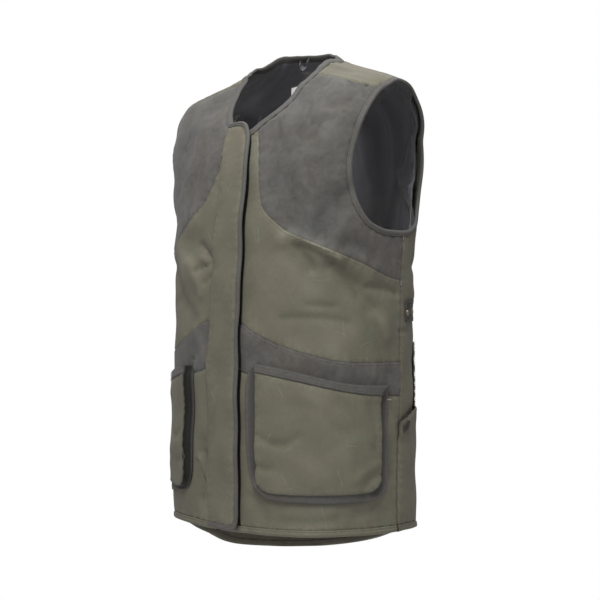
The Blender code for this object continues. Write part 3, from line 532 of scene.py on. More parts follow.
PLACKET_BOUND = SeamLine(((-98.2, -0.679), *PLACKET_FREE.rows[1:-1], (-96.3, -0.08)))
POCKET_TOP = SeamLine(((-4.5, -0.473), (-22.4, -0.471), (-35.5, -0.465), (-54.8, -0.450), (-68.8, -0.442)))
POCKET_BINDING_FOOT = SeamLine((
    (-10.5, -0.487), (-22.4, -0.484), (-35.5, -0.477), (-54.8, -0.463), (-68.8, -0.454)))
FACE_EDGE = SeamLine((
    (-68.8, -0.442), (-68.8, -0.454), (-68.8, -0.52), (-68.8, -0.598), (-67.4, -0.612), (-63.8, -0.62),
    (-56.0, -0.622), (-38.0, -0.622), (-22.0, -0.621), (-16.0, -0.618), (-12.4, -0.61), (-11.0, -0.596),
    (-10.6, -0.54), (-10.5, -0.487), (-4.5, -0.473),
))
BASE_EDGE = SeamLine((
    (-74.4, -0.46), (-75.2, -0.47), (-75.6, -0.52), (-73.8, -0.592), (-70.2, -0.618), (-65.0, -0.63),
    (-56.0, -0.634), (-38.0, -0.635), (-20.0, -0.634), (-11.0, -0.63), (-6.6, -0.621), (-4.9, -0.606),
    (-4.2, -0.54), (-3.8, -0.492), (-3.6, -0.478),
))


class Shade:
    """A value socket that takes part in sums, so that shader maths reads as maths."""

    def __init__(self, graph: "ShaderGraph", socket: Socket) -> None:
        """Wraps a socket of a graph."""
        self.graph = graph
        self.socket = socket

    def _sum(self, operation: str, *values: Any) -> "Shade":
        """A Math node on this socket and other values."""
        made = self.graph.node("ShaderNodeMath", {"operation": operation}, values)
        return Shade(self.graph, made.outputs[0])

    def __add__(self, other: Any) -> "Shade":
        return self._sum("ADD", self, other)

    def __radd__(self, other: Any) -> "Shade":
        return self._sum("ADD", other, self)

    def __sub__(self, other: Any) -> "Shade":
        return self._sum("SUBTRACT", self, other)

    def __rsub__(self, other: Any) -> "Shade":
        return self._sum("SUBTRACT", other, self)

    def __mul__(self, other: Any) -> "Shade":
        return self._sum("MULTIPLY", self, other)

    def __rmul__(self, other: Any) -> "Shade":
        return self._sum("MULTIPLY", other, self)

    def __pow__(self, other: Any) -> "Shade":
        return self._sum("POWER", self, other)

    def sine(self) -> "Shade":
        """The sine of the value."""
        return self._sum("SINE", self)

    def size(self) -> "Shade":
        """The value without its sign."""
        return self._sum("ABSOLUTE", self)

    def greater(self, other: Any) -> "Shade":
        """The larger of the two values."""
        return self._sum("MAXIMUM", self, other)

    def ramp(self, low: float, high: float) -> "Shade":
        """0 below low, 1 above high, and smooth between them."""
        settings = {"interpolation_type": "SMOOTHSTEP"}
        return Shade(self.graph, self.graph.node("ShaderNodeMapRange", settings, {
            "Value": self, "From Min": low, "From Max": high}).outputs["Result"])


def give(tree: bpy.types.NodeTree, socket: Socket, value: Any) -> None:
    """Links a socket of a tree to a pattern or another socket, or sets its value."""
    if isinstance(value, Shade):
        value = value.socket
    if isinstance(value, Socket):
        tree.links.new(value, socket)
    else:
        socket.default_value = value


def add_node(tree: bpy.types.NodeTree, kind: str, settings: dict[str, Any], inputs: Any) -> bpy.types.Node:
    """Any node of a shader or of Geometry Nodes.

    Args:
        tree: the tree that it joins.
        kind: the node's type.
        settings: its properties, set first.
        inputs: the values or links of its sockets, by name or in order.

    Returns:
        The node.
    """
    made = tree.nodes.new(kind)
    for key, value in settings.items():
        setattr(made, key, value)
    pairs = inputs.items() if isinstance(inputs, dict) else enumerate(inputs)
    for key, value in pairs:
        give(tree, made.inputs[key], value)
    return made


class ShaderGraph:
    """The nodes of one material."""

    def __init__(self, name: str) -> None:
        """Makes a material with an empty Principled shader."""
        self.material = bpy.data.materials.new(name)
        self.material.use_nodes = True
        self.tree = self.material.node_tree
        self.surface = self.tree.nodes["Principled BSDF"]

    def node(self, kind: str, settings: dict[str, Any], inputs: Any) -> bpy.types.Node:
        """A node of this material."""
        return add_node(self.tree, kind, settings, inputs)

    def attribute(self, name: str) -> Shade:
        """A number stored on the mesh."""
        return Shade(self, self.node("ShaderNodeAttribute", {"attribute_name": name}, {}).outputs["Fac"])

    def object_place(self) -> Socket:
        """The place on the object, in metres."""
        return self.node("ShaderNodeTexCoord", {}, {}).outputs["Object"]

    def cloth_place(self) -> Socket:
        """The place on the flat cloth, in metres."""
        return self.node("ShaderNodeUVMap", {"uv_map": "cloth"}, {}).outputs["UV"]

    def split(self, vector: Socket) -> tuple[Shade, Shade]:
        """The first two numbers of a vector."""
        made = self.node("ShaderNodeSeparateXYZ", {}, [vector])
        return Shade(self, made.outputs[0]), Shade(self, made.outputs[1])

    def noise(self, place: Socket, size: float, detail: float = 2.0, twist: float = 0.0) -> Shade:
        """Cloudy noise from 0 to 1 whose clouds have a size in metres."""
        made = self.node("ShaderNodeTexNoise", {}, {
            "Vector": place, "Scale": 1.0 / size, "Detail": detail, "Distortion": twist})
        return Shade(self, made.outputs["Fac"])

    def cells(self, place: Socket, size: float, feature: str = "F1") -> Shade:
        """Distances within cells that have a size in metres."""
        made = self.node("ShaderNodeTexVoronoi", {"feature": feature}, {"Vector": place, "Scale": 1.0 / size})
        return Shade(self, made.outputs["Distance"])

    def mixed(self, first: Any, second: Any, factor: Any) -> Socket:
        """A colour between two colours."""
        made = self.node("ShaderNodeMix", {"data_type": "RGBA"}, {})
        for socket, value in ((made.inputs[6], first), (made.inputs[7], second), (made.inputs[0], factor)):
            give(self.tree, socket, (*value, 1.0) if isinstance(value, tuple) else value)
        return made.outputs[2]

    def brightened(self, colour: Socket, factor: Shade) -> Socket:
        """A colour made lighter or darker by a factor."""
        made = self.node("ShaderNodeVectorMath", {"operation": "SCALE"}, {0: colour, "Scale": factor})
        return made.outputs[0]

    def finish(self, colour: Socket, roughness: Any, height: Any, **constants: float) -> None:
        """Links the shader.

        Args:
            colour: the base colour.
            roughness: a value or a pattern.
            height: the relief in metres, or None.
            constants: other sockets of the shader, set directly.
        """
        give(self.tree, self.surface.inputs["Base Color"], colour)
        give(self.tree, self.surface.inputs["Roughness"], roughness)
        if height is not None:
            bump = self.node("ShaderNodeBump", {}, {"Height": height, "Strength": 1.0, "Distance": 1.0})
            self.tree.links.new(bump.outputs[0], self.surface.inputs["Normal"])
        for key, value in constants.items():
            self.surface.inputs[key.replace("_", " ")].default_value = value


class Weave(Enum):
    """How a cloth is woven."""

    CANVAS = "canvas"
    TWILL = "twill"
    RIB = "rib"


@dataclass(frozen=True)
class ClothFinish:
    """A woven cloth: its colours, its weave, how much it is mottled, worn and napped, and its painted light
    and shade.
    """

    name: str
    slot: str
    colour: Colour
    warm: Colour
    cool: Colour
    weave: Weave = Weave.CANVAS
    thread: float = 0.0007
    depth: float = 0.00006
    mottle: float = 1.0
    nap: float = 0.0
    scuff: float = 0.0
    wear_and_highlight: float = 0.10
    roughness: float = 0.70
    sheen: float = 0.1
    specular: float = 0.3
    # Painted shade on the reverse side, which lies inside the gilet.
    reverse: float = 0.35
    # Painted glow: light that the cloth gives off though it is no lamp.
    painted_glow: float = 0.0

    def _threads(self, graph: ShaderGraph, across: Shade, up: Shade) -> Shade:
        """The height of the threads, from 0 to 1."""
        pace = math.pi / self.thread
        if self.weave is Weave.TWILL:
            return ((across + up) * pace).sine().size() * (1 - 0.3 * (across * (0.5 * pace)).sine().size())
        if self.weave is Weave.RIB:
            return (across * pace).sine().size() ** 0.6
        over = (across * pace).sine().size() * 0.6
        over = over.greater((up * pace).sine().size() * 0.6)
        return over + 0.25 * (across * pace).sine() * (up * pace).sine()

    def material(self) -> bpy.types.Material:
        """The cloth's material."""
        graph = ShaderGraph(self.name)
        place = graph.object_place()
        across, up = graph.split(graph.cloth_place())
        broad = graph.noise(place, 0.090, 3.0, 0.4)
        clouds = graph.noise(place, 0.034, 3.0, 0.6)
        flecks = graph.noise(place, 0.0045, 3.0)
        grain = graph.noise(place, 0.0012, 2.0)
        colour = graph.mixed(self.colour, self.warm, broad.ramp(0.42, 0.68) * (0.75 * self.mottle))
        colour = graph.mixed(colour, self.cool, clouds.ramp(0.50, 0.75) * (0.70 * self.mottle))
        seam = graph.attribute("seam")
        crest = graph.attribute("crest")
        threads = self._threads(graph, across, up)
        light = 1.0 + (0.42 * self.mottle) * (clouds - 0.5) + 0.20 * (flecks - 0.5) + 0.16 * (grain - 0.5)
        # Lighter on the threads and darker between them: painted shade in the weave.
        light = light + 0.10 * (threads - 0.5)
        rubbed = seam.ramp(0.0006, 0.0022) * (1 - seam.ramp(0.0030, 0.0100))
        # Lighter where rubbed beside seams, which is wear, and on fold ridges, which is wear and painted
        # highlight.
        light = light + self.wear_and_highlight * rubbed * flecks.ramp(0.35, 0.65) + self.wear_and_highlight * crest.ramp(0.0004, 0.0035)
        # Painted shade in the seam's groove at the rim, painted highlight on fold ridges and painted shade in
        # the troughs.
        light = light - 0.30 * (1 - seam.ramp(0.0003, 0.0018)) + 0.16 * (crest.ramp(-0.0040, 0.0040) - 0.5)
        height = threads * self.depth + flecks * (0.00012 + 0.00030 * self.nap) + grain * 0.00005
        roughness = self.roughness + 0.10 * (flecks - 0.5) - 0.06 * rubbed
        if self.scuff:
            marks = 1 - graph.cells(place, 0.055, "DISTANCE_TO_EDGE").ramp(0.0, 0.012)
            marks = marks * graph.noise(place, 0.035, 2.0).ramp(0.56, 0.66)
            light = light + self.scuff * marks
            height = height + marks * 0.00015
            roughness = roughness + 0.08 * marks
        if self.nap:
            brushed = graph.noise(place, 0.019, 3.0, 0.8)
            light = light + self.nap * 1.15 * (brushed - 0.5)
            roughness = roughness + 0.08 * brushed
        # Painted shade in the gussets' grooves and slots, on the bindings' inner legs and on the panels'
        # reverse.
        light = light * (1 - 0.9 * graph.attribute("shade"))
        # Painted shadow, near black, under the placket's free edge.
        light = light * (1 - 0.96 * graph.attribute("under").ramp(0.0297, 0.0306))
        colour = graph.brightened(colour, light)
        graph.finish(
            colour, roughness, height, Sheen_Weight=self.sheen, Sheen_Roughness=0.55,
            Specular_IOR_Level=self.specular, Emission_Strength=self.painted_glow)
        return graph.material


@dataclass(frozen=True)
class LeatherFinish:
    """Grained leather with rubbed edges."""

    name: str
    slot: str
    colour: Colour
    rubbed: Colour
    grain: float = 0.0011
    reverse: float = 0.2

    def material(self) -> bpy.types.Material:
        """The leather's material."""
        graph = ShaderGraph(self.name)
        place = graph.object_place()
        pores = graph.cells(place, self.grain)
        clouds = graph.noise(place, 0.006, 4.0)
        edge = 1 - graph.attribute("seam").ramp(0.0004, 0.0022)
        colour = graph.mixed(self.colour, self.rubbed, edge * 0.7 + clouds.ramp(0.55, 0.8) * 0.4)
        colour = graph.brightened(colour, 0.85 + 0.3 * clouds)
        graph.finish(colour, 0.42 + 0.2 * clouds, pores * 0.00018 + clouds * 0.0001, Specular_IOR_Level=0.5)
        return graph.material


@dataclass(frozen=True)
class MetalFinish:
    """Dull plated metal with clouds of tarnish."""

    name: str
    slot: str
    colour: Colour
    tarnish: Colour

    def material(self) -> bpy.types.Material:
        """The metal's material."""
        graph = ShaderGraph(self.name)
        place = graph.object_place()
        clouds = graph.noise(place, 0.0018, 4.0)
        colour = graph.mixed(self.colour, self.tarnish, clouds.ramp(0.45, 0.75))
        graph.finish(colour, 0.28 + 0.25 * clouds, clouds * 0.00004, Metallic=1.0)
        return graph.material


@dataclass(frozen=True)
class ThreadFinish:
    """Sewing thread, slightly glossy and twisted."""

    name: str
    slot: str
    colour: Colour
    twist: float = 0.0006

    def material(self) -> bpy.types.Material:
        """The thread's material."""
        graph = ShaderGraph(self.name)
        place = graph.object_place()
        x, y = graph.split(place)
        plies = ((x + y) * (math.pi / self.twist)).sine().size()
        tone = graph.noise(place, 0.02, 2.0)
        # Darker between the plies: painted shade in the twist's grooves.
        colour = graph.mixed(self.colour, tuple(0.7 * part for part in self.colour), 1 - plies)
        colour = graph.brightened(colour, 0.85 + 0.3 * tone)
        graph.finish(colour, 0.50 + 0.1 * tone, plies * 0.00003, Sheen_Weight=0.1)
        return graph.material


WAXED = ClothFinish(
    "waxed_cotton", "waxed_cotton", (0.143, 0.135, 0.098), (0.152, 0.136, 0.101), (0.131, 0.134, 0.098),
    scuff=0.40, wear_and_highlight=0.12, roughness=0.66, sheen=0.05)
BRUSHED = ClothFinish(
    "brushed_grey", "brushed_grey", (0.098, 0.095, 0.088), (0.106, 0.094, 0.082), (0.088, 0.091, 0.088),
    weave=Weave.TWILL, depth=0.00003, nap=0.8, wear_and_highlight=0.06, roughness=0.88, sheen=0.12, specular=0.2)
BINDING = ClothFinish(
    "grey_binding", "grey_binding", (0.092, 0.089, 0.082), (0.098, 0.090, 0.081), (0.085, 0.087, 0.081),
    weave=Weave.RIB, thread=0.0009, depth=0.00010, mottle=0.7, wear_and_highlight=0.16, roughness=0.74, sheen=0.08)
LINING = ClothFinish(
    "black_lining", "black_lining", (0.112, 0.112, 0.124), (0.120, 0.111, 0.117), (0.100, 0.107, 0.130),
    weave=Weave.TWILL, thread=0.0004, depth=0.00002, mottle=0.8, wear_and_highlight=0.04, roughness=0.45, sheen=0.15,
    specular=0.5, reverse=0.0)
# The label glows faintly: painted light that lifts it out of the shade inside the neck.
LABEL = ClothFinish(
    "white_label", "white_label", (0.90, 0.90, 0.88), (0.91, 0.89, 0.86), (0.88, 0.89, 0.89),
    weave=Weave.RIB, thread=0.0005, depth=0.00004, mottle=0.4, wear_and_highlight=0.02, roughness=0.6, sheen=0.05,
    painted_glow=0.45)
# The zip's tape and coil are near black: partly their own colour, partly painted shade for the dark gap under
# the placket.
TAPE = ClothFinish(
    "zip_tape", "zip_tape", (0.010, 0.010, 0.010), (0.012, 0.010, 0.010), (0.010, 0.010, 0.012),
    weave=Weave.TWILL, thread=0.0006, mottle=0.6, wear_and_highlight=0.05, roughness=0.7)
LEATHER = LeatherFinish("brown_leather", "brown_leather", (0.030, 0.025, 0.021), (0.075, 0.062, 0.050))
BRASS = MetalFinish("antique_brass", "antique_brass", (0.34, 0.30, 0.23), (0.14, 0.11, 0.08))
GREEN_THREAD = ThreadFinish("green_thread", "waxed_cotton", (0.175, 0.168, 0.125))
GREY_THREAD = ThreadFinish("grey_thread", "grey_binding", (0.150, 0.147, 0.138))
PALE_THREAD = ThreadFinish("pale_thread", "waxed_cotton", (0.330, 0.310, 0.250))
# Near-black coil: its own colour and painted shade in the gap under the placket.
ZIP_COIL = ThreadFinish("zip_coil", "zip_tape", (0.030, 0.030, 0.028))


@dataclass
class Cut:
    """Cloth cut from a pattern: its places, its faces and its rim."""

    places: np.ndarray
    faces: np.ndarray
    rim: np.ndarray
    seam: np.ndarray
    run: np.ndarray


class Pattern:
    """The flat map of the figure, meshed finely and divided along its seams."""

    def __init__(self, figure: Figure, lines: Sequence[SeamLine], step: float, beside: float = 0.0) -> None:
        """Meshes the box round all lines.

        Args:
            figure: the figure that the cloth lies on.
            lines: the seams and edges.
            step: the spacing of the mesh, in metres.
            beside: how far from each line a row of points follows it, or 0 for none.
        """
        self.figure = figure
        coords: list[np.ndarray] = []
        walls: list[tuple[int, int]] = []
        count = 0
        for seam in lines:
            points = seam.points(figure, step)
            walls += [(count + i, count + i + 1) for i in range(len(points) - 1)]
            if seam.closed:
                walls.append((count + len(points) - 1, count))
            coords.append(points)
            count += len(points)
        drawn = np.concatenate(coords)
        self._measure(lines)
        low, high = drawn.min(axis=0), drawn.max(axis=0)
        if beside:
            drawn = np.concatenate([drawn, self._rows_beside(lines, step, beside, low, high)])
        flat = drawn * (DEGREE, 1.0)
        flat = np.concatenate([flat, self._filling(flat, step)])
        result = delaunay_2d_cdt([Vector(point) for point in flat], walls, [], 0, MERGED)
        self.places = np.array([tuple(point) for point in result[0]]) / (DEGREE, 1.0)
        self.faces = np.array(result[2])
        fixed = [edge for edge, sources in zip(result[1], result[4]) if sources]
        self._divide(np.sort(np.array(fixed), axis=1))

    def _measure(self, lines: Sequence[SeamLine]) -> None:
        """Prepares the ruler that tells how far a place is from the nearest line."""
        points, runs = [], []
        for number, seam in enumerate(lines):
            places = seam.points(self.figure, RULER_STEP)
            here = self.figure.form(places[:, 0], places[:, 1])
            lengths = np.linalg.norm(np.diff(here, axis=0), axis=1)
            points.append(here)
            runs.append(run_of(lengths) + RUN_APART * number)
        joined = np.concatenate(points)
        self.runs = np.concatenate(runs)
        self.ruler = tree_of(joined)

    def _rows_beside(
            self, lines: Sequence[SeamLine], step: float, beside: float, low: np.ndarray,
            high: np.ndarray) -> np.ndarray:
        """Rows of points along both sides of each line, none close to another line."""
        kept: list[np.ndarray] = []
        for seam in lines:
            for distance in (beside, -beside):
                places = seam.moved(distance).points(self.figure, step)
                here = self.figure.form(places[:, 0], places[:, 1])
                for place, point in zip(places, here):
                    inside = (place >= low).all() and (place <= high).all()
                    if inside and self.ruler.find(point)[2] > 0.8 * beside:
                        kept.append(place)
        spots = [(place[0] * DEGREE, place[1], 0.0) for place in kept]
        tree = tree_of(spots)
        chosen = []
        for i, spot in enumerate(spots):
            if all(index >= i for _, index, _ in tree.find_range(spot, 0.5 * beside)):
                chosen.append(kept[i])
        return np.array(chosen)

    @staticmethod
    def _filling(flat: np.ndarray, step: float) -> np.ndarray:
        """Staggered points between the lines, none close to a line."""
        tree = tree_of([(x, y, 0.0) for x, y in flat])
        low, high = flat.min(axis=0), flat.max(axis=0)
        found = []
        for j in range(int((high[1] - low[1]) / (step * ROW_HEIGHT)) + 1):
            for i in range(int((high[0] - low[0]) / step) + 1):
                x = low[0] + (i + 0.5 * (j % 2) + 0.25) * step
                y = low[1] + j * step * ROW_HEIGHT
                if tree.find((x, y, 0.0))[2] > 0.6 * step:
                    found.append((x, y))
        return np.array(found)

    def _divide(self, fixed: np.ndarray) -> None:
        """Numbers the regions between the lines."""
        size = len(self.places)
        count = len(self.faces)
        edges = np.concatenate([self.faces[:, [0, 1]], self.faces[:, [1, 2]], self.faces[:, [2, 0]]])
        edges = np.sort(edges, axis=1)
        keys = edges[:, 0] * size + edges[:, 1]
        owners = np.tile(np.arange(count), 3)
        free = ~np.isin(keys, fixed[:, 0] * size + fixed[:, 1])
        keys, owners = keys[free], owners[free]
        order = np.argsort(keys, kind="stable")
        keys, owners = keys[order], owners[order]
        same = np.nonzero(keys[1:] == keys[:-1])[0]
        left, right = owners[same], owners[same + 1]
        zones = np.arange(count)
        while True:
            lower = np.minimum(zones[left], zones[right])
            new = zones.copy()
            np.minimum.at(new, left, lower)
            np.minimum.at(new, right, lower)
            new = new[new]
            if (new == zones).all():
                break
            zones = new
        self.zones = zones

    def _zone_at(self, seed: Row) -> int:
        """The region that holds a place."""
        corners = self.places[self.faces] * (DEGREE, 1.0)
        spot = np.array(seed) * (DEGREE, 1.0)
        inside = np.ones(len(self.faces), dtype=bool)
        for i in range(3):
            a, b = corners[:, i], corners[:, (i + 1) % 3]
            turn = (b[:, 0] - a[:, 0]) * (spot[1] - a[:, 1]) - (b[:, 1] - a[:, 1]) * (spot[0] - a[:, 0])
            inside &= turn >= 0
        return int(self.zones[np.argmax(inside)])

    def cut(self, seeds: Sequence[Row]) -> Cut:
        """Cuts out the regions at the seeds, as one piece."""
        wanted = [self._zone_at(seed) for seed in seeds]
        faces = self.faces[np.isin(self.zones, wanted)]
        used, inverse = np.unique(faces, return_inverse=True)
        faces = inverse.reshape(faces.shape)
        places = self.places[used]
        edges = np.concatenate([faces[:, [0, 1]], faces[:, [1, 2]], faces[:, [2, 0]]])
        size = len(places)
        rim = edges[~np.isin(edges[:, 0] * size + edges[:, 1], edges[:, 1] * size + edges[:, 0])]
        points = self.figure.form(places[:, 0], places[:, 1])
        nearest = [self.ruler.find(point) for point in points]
        seam = np.array([found[2] for found in nearest])
        run = self.runs[[found[1] for found in nearest]]
        return Cut(places, faces, rim, seam, run)


@dataclass
class Piece:
    """A finished piece, and the size of its flat cloth."""

    body: bpy.types.Object
    flat: tuple[float, float]
    area: float


@dataclass(frozen=True)
class Stitch:
    """The sizes of a kind of stitching."""

    pitch: float = 0.0036
    length: float = 0.0029
    width: float = 0.0007
    height: float = 0.0006


@dataclass
class SewnRow:
    """A row of stitches along a path."""

    points: np.ndarray
    ups: np.ndarray
    closed: bool
    thread: ThreadFinish
    stitch: Stitch


TOPSTITCH = Stitch()
BARTACK = Stitch(0.0006, 0.0009, 0.0020, 0.0008)
COIL = Stitch(0.0024, 0.0013, 0.0052, 0.0016)
WANDER = 0.10


class SewingTree:
    """The Geometry Nodes that set stitches along a path."""

    def __init__(self) -> None:
        """Builds the tree once."""
        self.tree = bpy.data.node_groups.new("sewn_row", "GeometryNodeTree")
        self.inputs: dict[str, str] = {}
        self._socket("Geometry", "NodeSocketGeometry")
        for name in ("Pitch", "Length", "Width", "Height", "Wander"):
            self._socket(name, "NodeSocketFloat")
        self._socket("Seed", "NodeSocketInt")
        self._socket("Thread", "NodeSocketMaterial")
        self.tree.interface.new_socket("Geometry", in_out="OUTPUT", socket_type="NodeSocketGeometry")
        self._build()

    def _socket(self, name: str, kind: str) -> None:
        """A named input, kept by its identifier."""
        socket = self.tree.interface.new_socket(name, in_out="INPUT", socket_type=kind)
        self.inputs[name] = socket.identifier

    def _node(self, kind: str, settings: dict[str, Any], inputs: dict[Any, Any]) -> bpy.types.Node:
        """A node of this tree."""
        return add_node(self.tree, kind, settings, inputs)

    def _build(self) -> None:
        """Path, evenly spaced points, one turned stitch on each, realized and in its thread."""
        given = self._node("NodeGroupInput", {}, {}).outputs
        path = self._node("GeometryNodeMeshToCurve", {}, {"Mesh": given["Geometry"]})
        spaced = self._node("GeometryNodeResampleCurve", {"mode": "LENGTH"}, {
            "Curve": path.outputs["Curve"], "Length": given["Pitch"]})
        up = self._node("GeometryNodeInputNamedAttribute", {"data_type": "FLOAT_VECTOR"}, {"Name": "up"})
        along = self._node("GeometryNodeInputTangent", {}, {})
        facing = self._node("FunctionNodeAlignRotationToVector", {"axis": "X"}, {
            "Vector": along.outputs[0]})
        upright = self._node("FunctionNodeAlignRotationToVector", {"axis": "Z", "pivot_axis": "X"}, {
            "Rotation": facing.outputs[0], "Vector": up.outputs["Attribute"]})
        low = self._node("ShaderNodeMath", {"operation": "SUBTRACT"}, {0: 0.0, 1: given["Wander"]})
        wander = self._node("FunctionNodeRandomValue", {"data_type": "FLOAT"}, {
            "Seed": given["Seed"], 2: low.outputs[0], 3: given["Wander"]})
        turn = self._node("ShaderNodeCombineXYZ", {}, {"Z": wander.outputs[1]})
        turned_stitch = self._node("FunctionNodeRotateRotation", {"rotation_space": "LOCAL"}, {
            "Rotation": upright.outputs[0], "Rotate By": turn.outputs[0]})
        size = self._node("ShaderNodeCombineXYZ", {}, {
            "X": given["Length"], "Y": given["Width"], "Z": given["Height"]})
        bead = self._node("GeometryNodeMeshUVSphere", {}, {"Segments": 6, "Rings": 4, "Radius": 0.5})
        rows = self._node("GeometryNodeInstanceOnPoints", {}, {
            "Points": spaced.outputs[0], "Instance": bead.outputs["Mesh"],
            "Rotation": turned_stitch.outputs[0], "Scale": size.outputs[0]})
        real = self._node("GeometryNodeRealizeInstances", {}, {"Geometry": rows.outputs[0]})
        soft = self._node("GeometryNodeSetShadeSmooth", {}, {"Geometry": real.outputs[0]})
        dyed = self._node("GeometryNodeSetMaterial", {}, {
            "Geometry": soft.outputs[0], "Material": given["Thread"]})
        self._node("NodeGroupOutput", {}, {"Geometry": dyed.outputs[0]})

    def sew(
            self, name: str, rows: Sequence[SewnRow], material: bpy.types.Material,
            seed: int) -> bpy.types.Object:
        """Stitches along the rows, which share their thread and sizes, as a plain mesh.

        Args:
            name: the new object's name.
            rows: the paths.
            material: the thread's material.
            seed: the seed of the stitches' small turns.

        Returns:
            The object.
        """
        points, ups, edges = [], [], []
        for row in rows:
            first = len(points)
            points += row.points.tolist()
            ups += row.ups.tolist()
            edges += [(i, i + 1) for i in range(first, len(points) - 1)]
            if row.closed:
                edges.append((len(points) - 1, first))
        mesh = bpy.data.meshes.new(name + "_path")
        mesh.from_pydata(points, edges, [])
        mesh.attributes.new("up", "FLOAT_VECTOR", "POINT").data.foreach_set("vector", np.ravel(ups))
        path = bpy.data.objects.new(name + "_path", mesh)
        bpy.context.scene.collection.objects.link(path)
        nodes = path.modifiers.new("sewing", "NODES")
        nodes.node_group = self.tree
        stitch = rows[0].stitch
        for key, value in (
                ("Pitch", stitch.pitch), ("Length", stitch.length), ("Width", stitch.width),
                ("Height", stitch.height), ("Wander", WANDER), ("Seed", seed), ("Thread", material)):
            nodes[self.inputs[key]] = value
        seen = path.evaluated_get(bpy.context.evaluated_depsgraph_get())
        plain = bpy.data.meshes.new_from_object(seen)
        bpy.data.objects.remove(path, do_unlink=True)
        plain.name = name
        made = bpy.data.objects.new(name, plain)
        bpy.context.scene.collection.objects.link(made)
        return made


